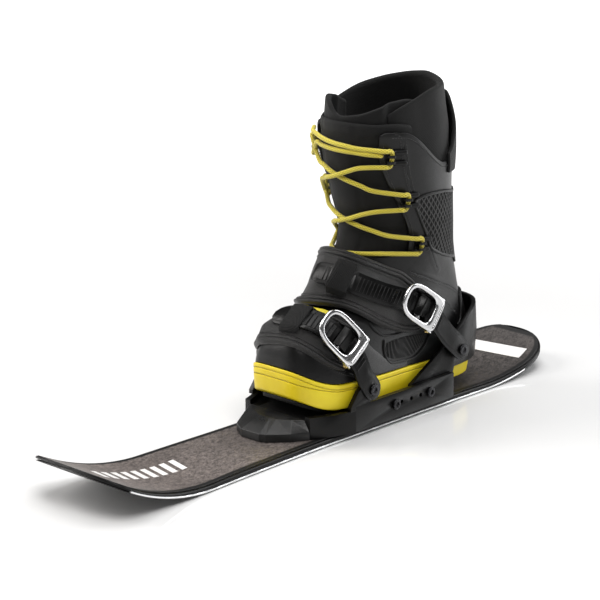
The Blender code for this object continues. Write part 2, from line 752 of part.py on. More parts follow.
def build_sewn_pieces(tree):
    """The band and the mesh panel of each side, and the yellow piece over the vamp."""
    for side, end in ((1, "near"), (-1, "far")):
        rows = [(t * side, low, high) for t, low, high in filled_rows(QUARTER_BAND, 6)]
        overlay("quarter_band_" + end, tree, rows, 3, TRIM)
        rows = [(t * side, low, high) for t, low, high in filled_rows(CALF_MESH, 9)]
        overlay("calf_mesh_" + end, tree, rows, 4, TEXTILE)
    turns = np.linspace(-VAMP_HALF_TURN, VAMP_HALF_TURN, 6)
    overlay("vamp_piece", tree, [between_pads(t) for t in turns], 3, LACE_YELLOW)


def build_pull_loop(tree):
    """Webbing loop sewn to the back of the shaft at both ends, bowed out between them."""
    centre = boot_point(math.pi, PULL_LOOP_AT)
    up = boot_point(math.pi, PULL_LOOP_AT + NEARBY) - boot_point(math.pi, PULL_LOOP_AT - NEARBY)
    up = Vector(up).normalized()
    out = Vector((-up.z, 0, up.x))
    place = Matrix([(*row,) for row in zip(up, out, up.cross(out), centre)] + [(0, 0, 0, 1)])
    end, sewn, wide = PULL_LOOP_LONG / 2, PULL_LOOP_LONG / 2 - PULL_LOOP_SEAM, PULL_LOOP_WIDE / 2
    arc = np.radians(range(0, 181, 30))
    bow = [(sewn * math.cos(a), 2 * LOOP_WEBBING + PULL_LOOP_BOW * math.sin(a)) for a in arc]
    under = [(along * 0.97, level - LOOP_WEBBING) for along, level in bow]
    outline = [(-end, 0.0), (end, 0.0), (end, 2 * LOOP_WEBBING), *bow, (-end, 2 * LOOP_WEBBING)]
    loop = add_part("pull_loop", prism(outline, -wide, wide), TEXTILE,
                    place=lifted(place, [(-end, 0.0), (end, 0.0)], wide, tree))
    cut(loop, prism(under, -wide - NEARBY, wide + NEARBY))


def lifted(place, base, wide, tree):
    """Place moved out along its second axis until its base just clears the surface under it."""
    nearest = 1.0
    for along, level in [(a * s, level) for a, level in base for s in (1.0, 0.5, 0.0)]:
        for across in (-wide, -wide / 2, 0, wide / 2, wide):
            sample = place @ Vector((along, level, across))
            spot, normal, _, _ = tree.find_nearest(sample)
            nearest = min(nearest, (sample - spot).dot(normal))
    return place @ Matrix.Translation((0, SEAT_PLAY - nearest, 0))


def hook_place(side, height, tree):
    """Axes of a double lace hook: toward the slot, outward, and along the boot."""
    turn = side * (slot_turn(height) + HOOK_PAST_SLOT)
    centre = Vector(boot_point(turn, height))
    step = side * math.radians(2)
    front = Vector(boot_point(turn - step, height) - boot_point(turn + step, height)).normalized()
    up = Vector(boot_point(turn, height + 2 * NEARBY) - boot_point(turn, height - 2 * NEARBY)).normalized()
    out = up.cross(front).normalized()
    if out.y * side < 0:
        out = -out
    along = front.cross(out).normalized()
    front = out.cross(along).normalized()
    place = Matrix([(*row,) for row in zip(front, out, along, centre)] + [(0, 0, 0, 1)])
    return lifted(place, [(-HOOK_REAR, 0.0), (HOOK_FRONT, 0.0)], HOOK_HALF, tree)


HOOK_PROFILE = ((0.0046, 0.0004), (0.0046, 0.0068), (0.0034, 0.0080), (-0.0016, 0.0080), (-0.0027, 0.0072),
                (-0.0027, 0.0063), (-0.0018, 0.0063), (-0.0012, 0.0069), (0.0028, 0.0069), (0.0035, 0.0062),
                (0.0035, 0.0004))


def build_hooks(tree):
    """Three double hooks on each side of the lacing slot. Returns the place of each."""
    places = {}
    half = HOOK_SPACING / 2
    for side, end in ((1, "near"), (-1, "far")):
        for n, height in enumerate(HOOK_HEIGHTS):
            place = hook_place(side, height, tree)
            corners = [(-HOOK_REAR, -HOOK_HALF), (HOOK_FRONT, -HOOK_HALF)]
            corners += [(HOOK_FRONT, HOOK_HALF), (-HOOK_REAR, HOOK_HALF)]
            middle = Matrix.Translation((0, HOOK_PLATE / 2, 0))
            base = plate(corners, HOOK_PLATE, middle @ Matrix.Rotation(math.pi / 2, 4, "X"))
            hook = add_part(f"lace_hook_{end}_{n + 1}", base, GLOSS_BLACK, place=place)
            for centre in (-half, half):
                join(hook, prism(HOOK_PROFILE, centre - HOOK_WIDE / 2, centre + HOOK_WIDE / 2))
            places[side, n] = place
    return places


def lace_turn_round(place, downward):
    """Points of the lace behind the two hooks of a pair, from its upper side down, or back up."""
    end = HOOK_SPACING / 2 + HOOK_WIDE / 2 + LACE_RADIUS + 2 * GAP
    level = HOOK_PLATE + LACE_RADIUS + 2 * GAP
    upper = [(0.0085, level + 0.0006, end + 0.0004), (0.0036, level + 0.0004, end + 0.0006),
             (0.0006, level, end - 0.0012)]
    points = [*upper, (-0.0001, level, 0.0), *[(s, n, -u) for s, n, u in upper[::-1]]]
    if not downward:
        points = points[::-1]
    return [np.array(place @ Vector(point)) for point in points]


def lace_strand(start, end, over=0.0, count=9):
    """Points of the lace over the tongue between two turns and heights, raised at a crossing."""
    points = []
    for share in np.linspace(0, 1, count):
        turn = start[0] + (end[0] - start[0]) * share
        height = start[1] + (end[1] - start[1]) * share
        edge = slot_turn(height)
        on_tongue = LACE_RADIUS + 4 * GAP - SHELL_WALL - SOFT_PLAY
        over_edge = LACE_RADIUS + SOFT_PLAY
        lift = on_tongue + (over_edge - on_tongue) * ease(abs(turn), edge * 0.45, edge * 0.95)
        lift += over * math.exp(-(turn / math.radians(13)) ** 2)
        points.append(boot_point(turn, height, lift))
    return points


def smooth_route(points, bend, step):
    """Points on a smooth curve through a route's own points, closer together where it bends."""
    points = np.array(points)
    fine = []
    padded = np.concatenate([2 * points[:1] - points[1:2], points, 2 * points[-1:] - points[-2:-1]])
    for a, b, c, d in zip(padded, padded[1:], padded[2:], padded[3:]):
        t = np.linspace(0, 1, 12, endpoint=False)[:, None]
        fine.append(b + (c - a) * t / 2 + (2 * a - 5 * b + 4 * c - d) * t ** 2 / 2
                    + (3 * b - a - 3 * c + d) * t ** 3 / 2)
    fine = np.concatenate([*fine, points[-1:]])
    run = np.diff(fine, axis=0)
    length = np.linalg.norm(run, axis=1)
    run /= length[:, None]
    turned_by = np.arccos(np.clip((run[1:] * run[:-1]).sum(1), -1, 1))
    weight = length + np.concatenate([[0.0], turned_by]) * step / bend
    places = np.concatenate([[0.0], np.cumsum(weight)])
    even = np.linspace(0, places[-1], int(round(places[-1] / step)) + 1)
    return np.stack([np.interp(even, places, fine[:, k]) for k in range(3)], -1)


def build_lace(places):
    """One lace: down from the far top hook, across under the last pair, and back up."""
    edge = HOOK_SPACING / 2 + HOOK_WIDE / 2 + LACE_RADIUS

    def at(side, pair, up):
        height = HOOK_HEIGHTS[pair] + (edge if up else -edge)
        return side * (slot_turn(height) - math.radians(6)), height

    top = HOOK_HEIGHTS[0] + edge
    route = lace_strand((math.radians(47), top - 0.004), at(-1, 0, True))[:-1]
    route += lace_turn_round(places[-1, 0], True)
    route += lace_strand(at(-1, 0, False), at(1, 1, True))[1:-1] + lace_turn_round(places[1, 1], True)
    route += lace_strand(at(1, 1, False), at(-1, 2, True), LACE_OVER)[1:-1]
    route += lace_turn_round(places[-1, 2], True)
    route += lace_strand(at(-1, 2, False), at(1, 2, False))[1:-1] + lace_turn_round(places[1, 2], False)
    route += lace_strand(at(1, 2, True), at(-1, 1, False))[1:-1] + lace_turn_round(places[-1, 1], False)
    route += lace_strand(at(-1, 1, True), at(1, 0, False), LACE_OVER)[1:-1]
    route += lace_turn_round(places[1, 0], False)
    route += lace_strand(at(1, 0, True), (-math.radians(50), top + 0.010))[1:]
    add_part("boot_lace", tube(smooth_route(route, LACE_BEND, LACE_STEP), LACE_RADIUS, 2), LACE_YELLOW)


# Binding
SKI_TOP_GAP = SKI_THICK + GAP
FLOOR_TOP = SKI_TOP_GAP + FLOOR_THICK
BALL_HALF = SOLE_SECTIONS[1][4]
RAIL_IN = BALL_HALF + BOOT_SIDE_PLAY
RAIL_OUT = RAIL_IN + RAIL_WALL
FLANGE_MIDDLE = RAIL_IN - GAP - FLANGE_THICK / 2


def prism_xy(outline, low, high):
    """Outline seen from above, between two heights."""
    return plate(outline, high - low, Matrix.Translation((0, 0, (low + high) / 2)))


def prism_xz(outline, low, high):
    """Outline seen from the side, given as x and z, between two places across."""
    frame = Matrix.Translation((0, (low + high) / 2, 0)) @ Matrix.Rotation(math.pi / 2, 4, "X")
    return plate(outline, high - low, frame)


def turned(profile, centre, axis, sides=16):
    """Solid of revolution from radius and distance pairs along the axis, both ends on the axis or flat."""
    bm = bmesh.new()
    points = [(0.0, profile[0][1]), *profile, (0.0, profile[-1][1])]
    verts = [bm.verts.new((radius, 0.0, along)) for radius, along in points]
    edges = [bm.edges.new(pair) for pair in zip(verts, verts[1:])]
    bmesh.ops.spin(bm, geom=verts + edges, axis=(0, 0, 1), cent=(0, 0, 0), angle=2 * math.pi, steps=sides)
    bmesh.ops.remove_doubles(bm, verts=bm.verts, dist=0.00002)
    turn = Vector((0, 0, 1)).rotation_difference(Vector(axis).normalized()).to_matrix().to_4x4()
    bm.transform(Matrix.Translation(Vector(centre)) @ turn)
    return mesh_from_bmesh(bm)


def sole_height(x):
    """World height of the outsole's underside at a place along the ski."""
    low = SKI_THICK + BALL_HEIGHT - (OUTSOLE_THICK + GAP) / math.cos(BOOT_TILT)
    return low + x * math.tan(BOOT_TILT)


def ear_outline(at):
    """Strap ear seen from the side: a leaning front edge and a round head about the strap screw."""
    height = SKI_TOP_GAP + EAR_HEIGHT
    foot = SKI_TOP_GAP + RAIL_TOP - 0.004
    outline = [(at + 0.030, foot), (at + 0.030, foot + 0.004), (at + 0.0185, height + 0.0015)]
    for angle in np.radians(np.linspace(35, 205, 9)):
        outline.append((at + EAR_RADIUS * math.cos(angle), height + EAR_RADIUS * math.sin(angle)))
    return outline + [(at + 0.002, foot + 0.004), (at + 0.002, foot)]


def deck_edge(x, side):
    """Half width of the base plate forward of its rails. The big-toe side reaches further forward."""
    reach = 0.025 if side < 0 else 0.0
    places = [SHOULDER_FROM + reach, 0.022 + reach * 0.5, BASE_FRONT]
    return float(np.interp(x, places, [RAIL_OUT, 0.0515, 0.0405 if side > 0 else 0.0475]))


def build_base():
    bottom = SKI_TOP_GAP
    near = [(BASE_REAR, RAIL_OUT)] + [(x, deck_edge(x, 1)) for x in (SHOULDER_FROM, 0.022, BASE_FRONT)]
    far = [(x, -deck_edge(x, -1)) for x in (BASE_FRONT, 0.0345, 0.023)] + [(BASE_REAR, -RAIL_OUT)]
    base = add_part("base_plate", prism_xy(near + far, bottom, bottom + RAIL_TOP), BLACK_PLASTIC)
    cut(base, box((BASE_REAR - 0.01, -RAIL_IN, FLOOR_TOP), (DECK_FROM, RAIL_IN, 0.06)))
    cut(base, box((SHOULDER_FROM, -0.07, bottom + SHOULDER_TOP), (0.06, 0.07, 0.06)))
    wall = DECK_WALL
    deck = [(DECK_FROM - 0.001, RAIL_IN - 0.001)]
    deck += [(x, deck_edge(x, 1) - wall) for x in (0.022, BASE_FRONT + 0.002)]
    deck += [(x, wall - deck_edge(x, -1)) for x in (BASE_FRONT + 0.002, 0.023)]
    deck += [(DECK_FROM - 0.001, -RAIL_IN + 0.001)]
    cut(base, prism_xy(deck, bottom + DECK_TOP, 0.06))
    height = bottom + EAR_HEIGHT
    for at, side in ((NEAR_EAR_AT, 1), (FAR_EAR_AT, -1)):
        low, high = sorted((side * (RAIL_IN + 0.00002), side * (RAIL_OUT - 0.00002)))
        join(base, prism_xz(ear_outline(at), low, high))
        middle = side * (RAIL_IN + RAIL_WALL / 2)
        cut(base, cylinder(STRAP_SCREW_SHANK + PIN_PLAY, 0.012, (at, middle, height), sides=12))
    level = bottom + BOLT_HEIGHT
    for x in FRAME_BOLTS_AT:
        cut(base, cylinder(BOLT_SHANK + PIN_PLAY, 0.2, (x, 0, level), sides=10))
    for x in SPARE_HOLES_AT:
        cut(base, cylinder(SPARE_HOLE_RADIUS, 0.2, (x, 0, level), sides=8))
    for x in MOUNT_SCREW_AT:
        for y in (-MOUNT_SCREW_SIDE, MOUNT_SCREW_SIDE):
            cut(base, cylinder(MOUNT_SHANK + PIN_PLAY, 0.03, (x, y, bottom), (0, 0, 1), 10))
            depth = MOUNT_HEAD_THICK + GAP
            cut(base, cylinder(MOUNT_HEAD + PIN_PLAY, 2 * depth, (x, y, FLOOR_TOP), (0, 0, 1), 10))
    return base


def build_mount_screws(core, topsheet):
    """Screws through the floor of the base plate into the ski, with their holes in the ski."""
    seat = FLOOR_TOP - MOUNT_HEAD_THICK
    profile = [(MOUNT_SHANK, SKI_THICK - MOUNT_DEPTH), (MOUNT_SHANK, seat), (MOUNT_HEAD, seat)]
    profile += [(MOUNT_HEAD, FLOOR_TOP), (MOUNT_SOCKET, FLOOR_TOP)]
    profile += [(MOUNT_SOCKET, FLOOR_TOP - MOUNT_SOCKET_DEEP)]
    screw = turned(profile, (0, 0, 0), (0, 0, 1), 8)
    places = [(x, y) for x in MOUNT_SCREW_AT for y in (-MOUNT_SCREW_SIDE, MOUNT_SCREW_SIDE)]
    add_copies("mount_screw", screw, [Matrix.Translation((x, y, 0)) for x, y in places], DARK_STEEL)
    for x, y in places:
        for layer in (core, topsheet):
            depth = 2 * (MOUNT_DEPTH + GAP)
            cut(layer, cylinder(MOUNT_SHANK + PIN_PLAY, depth, (x, y, SKI_THICK), (0, 0, 1), 10))


def build_pads():
    """Footbed pads whose tops follow the tilted sole."""
    bottom = FLOOR_TOP + GAP
    rear, front = HEEL_PAD_ENDS
    heel = [(rear, bottom), (front, bottom)]
    heel += [(x, sole_height(x) - GAP) for x in (front, rear)]
    pad = add_part("heel_pad", prism_xz(heel, -PAD_SIDE, PAD_SIDE), RUBBER)
    bevel(pad, 0.0008)
    deck = SKI_TOP_GAP + DECK_TOP + GAP
    step = DECK_FROM - 2 * GAP
    crown = SKI_TOP_GAP + RAMP_TOP
    toe = [(TOE_PAD_REAR, bottom), (step, bottom), (step, deck), (BASE_FRONT - 0.001, deck)]
    toe += [(BASE_FRONT - 0.001, crown - 0.001), (0.012, crown)]
    toe += [(step, min(crown, sole_height(step) - GAP)), (TOE_PAD_REAR, sole_height(TOE_PAD_REAR) - GAP)]
    pad = add_part("toe_ramp_pad", prism_xz(toe, -PAD_SIDE, PAD_SIDE), RUBBER)
    bevel(pad, 0.0008)


def build_toe_block():
    """Faceted nose in front of the base plate."""
    back = BASE_FRONT + GAP
    near, far = deck_edge(BASE_FRONT, 1), deck_edge(BASE_FRONT, -1)
    front = NOSE_FRONT
    low = [(back, near), (front - 0.021, 0.031), (front - 0.003, 0.014), (front, 0.008)]
    low += [(front, -0.016), (front - 0.010, -0.032), (back, -far)]
    slope = NOSE_SLOPE
    high = [(back, near - 0.007), (front - 0.029, 0.0235), (front - slope - 0.001, 0.0115)]
    high += [(front - slope, 0.004), (front - slope, -0.011), (front - 0.026, -0.025), (back, 0.007 - far)]
    bottom = SKI_TOP_GAP
    rings = [[(x, y, bottom) for x, y in low], [(x, y, bottom + NOSE_FACET) for x, y in low]]
    rings.append([(x, y, bottom + NOSE_TOP) for x, y in high])
    block = add_part("toe_block", loft(rings), GREY_PLASTIC, math.radians(20))
    return block


def heel_stations():
    """Path of the heel frame seen from above, as place and outward direction, buckle side first."""
    rear = boot_world(np.array([0.0, 0.0, MIDSOLE_THICK]))[0] - CUP_PLAY - FLANGE_THICK / 2
    straight = [FLANGE_FRONT, -0.070, UPRIGHT_FROM + 0.001, UPRIGHT_FROM, -0.115, -0.135, CUP_FROM + 0.001]
    path = [((x, FLANGE_MIDDLE), (0.0, 1.0)) for x in straight]
    power = 2.5
    for angle in np.radians(np.linspace(3, 90, 11)):
        reach, side = math.sin(angle) ** (2 / power), math.cos(angle) ** (2 / power)
        x, y = CUP_FROM + (rear - CUP_FROM) * reach, FLANGE_MIDDLE * side
        normal = Vector(((x - CUP_FROM) / (rear - CUP_FROM) ** 2, y / FLANGE_MIDDLE ** 2)).normalized()
        if angle > 1.57:
            x, y, normal = rear, 0.0, Vector((-1.0, 0.0))
        path.append(((x, y), (normal.x, normal.y)))
    return path + [((x, -y), (nx, -ny)) for (x, y), (nx, ny) in path[-2::-1]]


def frame_heights(x):
    """Lower and upper edge of the heel frame: flange, leaning upright, then the cup."""
    low = FLOOR_TOP + GAP if x > CUP_FROM else SKI_TOP_GAP + CUP_BOTTOM
    if x > UPRIGHT_FROM:
        return low, SKI_TOP_GAP + FLANGE_TOP
    upright = SKI_TOP_GAP + RAIL_TOP + (UPRIGHT_FROM - max(x, CUP_FROM)) * UPRIGHT_SLOPE
    rear = HEEL_AT - CUP_FROM
    into_cup = min(1.0, max(0.0, (x - CUP_FROM) / rear))
    top = upright + (SKI_TOP_GAP + CUP_REAR_TOP - upright) * math.sin(into_cup * math.pi / 2)
    return low, top


def build_heel_frame():
    rings = []
    for (x, y), (nx, ny) in heel_stations():
        low, high = frame_heights(x)
        middle = (low + high) / 2
        bulge = CUP_BULGE if x < UPRIGHT_FROM else 0.0
        ring = []
        for shift, z in ((0.5, low), (0.5, middle), (0.5, high), (-0.5, high), (-0.5, middle), (-0.5, low)):
            out = shift * FLANGE_THICK + (bulge if z == middle and x < CUP_FROM else 0.0)
            ring.append((x + nx * out, y + ny * out, z))
        rings.append(ring)
    frame = add_part("heel_frame", loft(rings), GREY_PLASTIC)
    for x in FRAME_BOLTS_AT:
        cut(frame, cylinder(BOLT_SHANK + PIN_PLAY, 0.2, (x, 0, SKI_TOP_GAP + BOLT_HEIGHT), sides=12))
    screw = (HEEL_SCREW_AT, 0, SKI_TOP_GAP + HEEL_SCREW_HEIGHT)
    cut(frame, cylinder(STRAP_SCREW_SHANK + PIN_PLAY, 0.2, screw))
    return frame


def socket_screw(shank, head, thick, start, seat):
    """Round-headed screw with a socket, along +Z, from its tip to the seat under its head and out."""
    top = seat + thick
    edge = thick * 0.25
    profile = [(shank, start), (shank, seat), (head, seat), (head, top - edge), (head - edge, top)]
    profile += [(head * 0.5, top), (head * 0.45, top - thick * 0.6)]
    return turned(profile, (0, 0, 0), (0, 0, 1), 10)


def facing(x, side, z):
    """Matrix that points +Z out of one side of the binding."""
    return Matrix.Translation((x, 0, z)) @ Matrix.Rotation(-side * math.pi / 2, 4, "X")


def build_frame_bolts():
    """Socket bolts that clamp the heel frame between the rails."""
    inside = RAIL_IN - GAP - FLANGE_THICK
    bolt = socket_screw(BOLT_SHANK, BOLT_HEAD, BOLT_HEAD_THICK, inside, RAIL_OUT + GAP)
    places = [facing(x, side, SKI_TOP_GAP + BOLT_HEIGHT) for side in (1, -1) for x in FRAME_BOLTS_AT]
    add_copies("frame_bolt", bolt, places, DARK_STEEL)


# Straps: where each one runs. Turns go round the boot, from the buckle side over the top.
ANKLE = {
    "name": "ankle", "screw": (HEEL_SCREW_AT, SKI_TOP_GAP + HEEL_SCREW_HEIGHT), "slope": math.radians(36.5),
    "core": 0.075, "buckle_along": 0.076, "keeper_turn": 78, "tip_turn": 97, "arm_turn": 163,
    "far_screw": (HEEL_SCREW_AT, SKI_TOP_GAP + HEEL_SCREW_HEIGHT),
    # turn in degrees, lower and upper edge of the pad in mm from the screw's line
    "pad": ((-22, -7, 13), (-10, -13, 22), (8, -20, 28), (28, -25, 32), (44, -28, 33), (58, -28.5, 29),
            (72, -30, 25), (85, -36, 23), (100, -40, 23), (130, -36, 24), (160, -26, 20), (186, -12, 11)),
    # turn in degrees and centre line of the ladder or the far arm in mm from the screw's line
    "ladder": ((-75, 0), (-53, 0), (-40, 3), (-24, 9), (-18, 10), (0, 10), (20, 10), (30, 8.5), (55, 1),
               (78, -5), (105, -8)),
    "arm": ((135, -6), (163, -3), (185, 1), (208, 3), (233, 0), (255, 0)),
}
TOE = {
    "name": "toe", "screw": (NEAR_EAR_AT, SKI_TOP_GAP + EAR_HEIGHT), "slope": math.radians(52.6),
    "core": 0.040, "buckle_along": 0.058, "keeper_turn": 79, "tip_turn": 108, "arm_turn": 152,
    "far_screw": (FAR_EAR_AT, SKI_TOP_GAP + EAR_HEIGHT),
    "pad": ((-4, -10, 9), (8, -16, 20), (25, -21, 25), (46, -24, 23), (66, -26, 21), (91, -29, 20),
            (111, -32, 19), (135, -31, 16), (158, -27, 10), (178, -20, 2)),
    "ladder": ((-60, 0), (-35, 0), (-20, 1), (-8, 6), (0, 7), (24, 7), (52, 7), (60, 5.5), (79, 1),
               (115, -3)),
    "arm": ((120, -7), (150, -10), (180, -15.5), (204, -19.9), (230, -19.9)),
}


def curve_through(turn, rows):
    """Smooth values in metres at a turn, through rows of a turn in degrees and values in mm."""
    rows = np.array(rows, float)
    turn = np.clip(math.degrees(turn), rows[0, 0], rows[-1, 0] - 1e-6)
    return section(np.array(turn), rows) / 1000


def on_strap(strap, across, along, offset):
    """World place from a strap's own measures: across the ski, along its slope, and square to both."""
    c, s = math.cos(strap["slope"]), math.sin(strap["slope"])
    x, z = strap["screw"]
    return Vector((x + along * c - offset * s, across, z + along * s + offset * c))


def at_turn(strap, turn, radius, offset):
    return on_strap(strap, radius * math.cos(turn), strap["core"] + radius * math.sin(turn), offset)


def outer_radius(strap, tree, turn, offset):
    """Radius of the outermost thing that a strap would lie on at a turn."""
    far = 0.16
    start = at_turn(strap, turn, far, offset)
    inward = at_turn(strap, turn, far - 1.0, offset) - start
    hit = tree.ray_cast(start, inward)
    return far - hit[3] if hit[0] is not None else 0.0


def tree_of(objects, skin=((), ())):
    """Search tree over the evaluated meshes of the given objects, and over a skin of points and faces."""
    graph = bpy.context.evaluated_depsgraph_get()
    points, faces = list(skin[0]), list(skin[1])
    for obj in objects:
        mesh = obj.evaluated_get(graph).to_mesh()
        start = len(points)
        points += [obj.matrix_world @ v.co for v in mesh.vertices]
        faces += [[start + n for n in face.vertices] for face in mesh.polygons]
    return BVHTree.FromPolygons(points, faces)


def seat(strap, turns, offsets, tree, clearance):
    """Radii of a surface on the boot, raised where its facets would come too close."""
    radii = [[outer_radius(strap, tree, t, v) for v in row] for t, row in zip(turns, offsets)]
    radii = np.array(radii) + clearance
    for _ in range(5):
        grid = [[at_turn(strap, t, r, v) for r, v in zip(*rows)] for t, *rows in zip(turns, radii, offsets)]
        for i in range(len(turns) - 1):
            for k in range(len(offsets[0]) - 1):
                corners = ((i, k), (i, k + 1), (i + 1, k), (i + 1, k + 1))
                for one, two in ((0, 1), (0, 2), (1, 3), (2, 3), (0, 3), (1, 2)):
                    (a, b), (c, d) = corners[one], corners[two]
                    sample = (grid[a][b] + grid[c][d]) / 2
                    place, normal, _, _ = tree.find_nearest(sample)
                    short = clearance * 0.7 - (sample - place).dot(normal)
                    if 0 < short < 0.01:
                        radii[a, b] += short
                        radii[c, d] += short
    return radii


PAD_STATIONS = 19
PAD_ACROSS = (0.0, 0.05, 0.10, 0.17, 0.35, 0.65, 0.83, 0.90, 0.95, 1.0)
PAD_THICK = (0.0022, 0.0050, 0.0050, 0.0033, 0.0043, 0.0043, 0.0033, 0.0050, 0.0050, 0.0022)


def build_strap_pad(strap, tree):
    """Moulded pad over the boot, with piped rims and a channel inside each rim."""
    first, last = strap["pad"][0][0], strap["pad"][-1][0]
    turns = np.radians(np.linspace(first, last, PAD_STATIONS))
    edges = [curve_through(t, strap["pad"]) for t in turns]
    offsets = np.array([[low + (high - low) * u for u in PAD_ACROSS] for low, high in edges])
    radii = seat(strap, turns, offsets, tree, SOFT_PLAY)
    rings = []
    for n, turn in enumerate(turns):
        thin = 0.55 + 0.45 * min(1.0, n / 2, (len(turns) - 1 - n) / 2)
        inner = [at_turn(strap, turn, r, v) for r, v in zip(radii[n], offsets[n])]
        outer = [at_turn(strap, turn, r + thick * thin, v)
                 for r, v, thick in zip(radii[n], offsets[n], PAD_THICK)]
        rings.append(inner + outer[::-1])
    return add_part(strap["name"] + "_strap_pad", loft(rings), STRAP_FOAM)


def taut(points):
    """Route of a tight band: the points, in order round the boot, without those it would bridge."""
    route = []
    for point in sorted(points, key=lambda item: item[0]):
        place = point[1]
        while len(route) > 1:
            (ax, ay), (bx, by) = route[-2], route[-1]
            if (bx - ax) * (place[1] - by) - (by - ay) * (place[0] - bx) > 0:
                break
            route.pop()
        route.append(place)
    return np.array(route)


def strap_route(strap, tree, low, high, line, spread, clearance, fixed=()):
    """Tight route between two turns in degrees, as across and along pairs, over all it lies on."""
    points = []
    for turn in np.radians(np.arange(low, high + 0.1, 2.0)):
        centre = curve_through(turn, strap[line])[0]
        levels = np.linspace(centre - spread, centre + spread, 21)
        radius = max(outer_radius(strap, tree, turn, v) for v in levels) + clearance
        points.append((turn, (radius * math.cos(turn), strap["core"] + radius * math.sin(turn))))
    for across, along in fixed:
        turn = math.atan2(along - strap["core"], across)
        points.append((turn + (2 * math.pi if turn < -math.pi / 2 and low > 0 else 0.0), (across, along)))
    return taut(points)


def along_route(route, distance):
    """Place and outward direction at a distance along a route."""
    lengths = np.concatenate([[0.0], np.cumsum(np.linalg.norm(np.diff(route, axis=0), axis=1))])
    around = (distance - NEARBY, distance, distance + NEARBY)
    at = [np.array([np.interp(d, lengths, route[:, k]) for k in (0, 1)]) for d in around]
    run = (at[2] - at[0]) / np.linalg.norm(at[2] - at[0])
    return at[1], np.array([run[1], -run[0]])


def route_length(route):
    return float(np.linalg.norm(np.diff(route, axis=0), axis=1).sum())


def route_turn(strap, place):
    turn = math.atan2(place[1] - strap["core"], place[0])
    return turn + (2 * math.pi if turn < -math.pi / 2 else 0.0)


def band(strap, route, line, stations, wide, thick, tooth=0.0):
    """Flat band along a route. A station is a distance and the height of the tooth there."""
    rings = []
    total = route_length(route)
    for distance, rise in stations:
        place, out = along_route(route, distance)
        centre = curve_through(route_turn(strap, place), strap[line])[0]
        to_end = min(distance, total - distance)
        half = wide / 2
        if to_end < half:
            half = max(0.1, 1 - (1 - to_end / half) ** 2) ** 0.5 * half
        levels = [(-half, 0.0), (half, 0.0), (half, thick)]
        if tooth:
            inner = min(half - 0.0008, wide / 2 * LADDER_TEETH_SHARE)
            levels += [(inner, thick), (inner, thick + rise), (-inner, thick + rise), (-inner, thick)]
        levels.append((-half, thick))
        rings.append([on_strap(strap, *(place + out * n), centre + v) for v, n in levels])
    return loft(rings, flat_ends=True)


def band_stations(total, teeth_from=None, wide=0.0):
    """Distances along a band, closer at its round ends, with a saw of teeth from a place on."""
    ends = [wide / 2 * (1 - math.cos(a)) for a in np.radians((25, 45, 65, 90))]
    stations = [(0.0, TOOTH_VALLEY)] + [(d, TOOTH_VALLEY) for d in ends]
    last = total - wide / 2 - 0.001
    stop = last if teeth_from is None else teeth_from
    stations += [(d, TOOTH_VALLEY) for d in np.arange(wide / 2 + 0.004, stop - 0.002, PLAIN_STEP)]
    if teeth_from is not None:
        for start in np.arange(teeth_from, last - TOOTH_PITCH, TOOTH_PITCH):
            stations += [(start, TOOTH_VALLEY), (start + TOOTH_PITCH * 0.25, TOOTH_HEIGHT)]
    stations += [(total - d, TOOTH_VALLEY) for d in ends[::-1]] + [(total, TOOTH_VALLEY)]
    return stations


class Buckle:
    """Place of a buckle: t runs toward the ladder's root, n outward, w down the strap's width."""

    def __init__(self, strap, route):
        lengths = np.linspace(0, route_length(route), 400)
        places = np.array([along_route(route, d)[0] for d in lengths])
        near = places[:, 0] > 0
        self.distance = lengths[near][np.argmin(np.abs(places[near][:, 1] - strap["buckle_along"]))]
        start = along_route(route, self.distance + BUCKLE_LENGTH / 2)[0]
        end = along_route(route, self.distance - BUCKLE_LENGTH / 2)[0]
        self.t = (end - start) / np.linalg.norm(end - start)
        self.n = np.array([-self.t[1], self.t[0]])
        middle = along_route(route, self.distance)[0]
        self.origin = middle
        self.strap = strap
        self.centre = curve_through(route_turn(strap, middle), strap["ladder"])[0]
        self.route = route

    def base_line(self, lift, inset=0.0, count=9):
        """Points of the curved base plate, in t and n, from the root end to the other."""
        points = []
        half = BUCKLE_LENGTH / 2 - inset
        for d in np.linspace(-half, half, count):
            place, out = along_route(self.route, self.distance + d)
            at = place + out * lift - self.origin
            points.append((float(at @ self.t), float(at @ self.n)))
        return points

    def frame(self, t=0.0, n=0.0):
        """Matrix of the buckle's own axes, with its origin at a place in t and n."""
        columns = []
        origin = on_strap(self.strap, *self.origin, self.centre)
        for along in (self.t, self.n):
            columns.append(on_strap(self.strap, *(self.origin + along), self.centre) - origin)
        columns.append(columns[0].cross(columns[1]))
        columns.append(origin + columns[0] * t + columns[1] * n)
        return Matrix([(*row, end) for *row, end in zip(*columns)] + [(0, 0, 0, 1)]).copy()


def prism(outline, low, high):
    """Outline in the plane of two axes, between two places on the third."""
    return plate(outline, high - low, Matrix.Translation((0, 0, (low + high) / 2)))


def circle(centre, radius, low, high, count):
    """Arc of points between two angles in degrees."""
    return [(centre[0] + radius * math.cos(a), centre[1] + radius * math.sin(a))
            for a in np.radians(np.linspace(low, high, count))]


def hole(at, radius):
    return cylinder(radius, 0.08, (*at, 0), (0, 0, 1), 14)


def rivet(radius, head, half):
    """Pin with a round head at each end."""
    end = half + PIN_HEAD_THICK
    return turned([(head, -end), (head, -half), (radius, -half), (radius, half), (head, half), (head, end)],
                  (0, 0, 0), (0, 0, 1), 10)


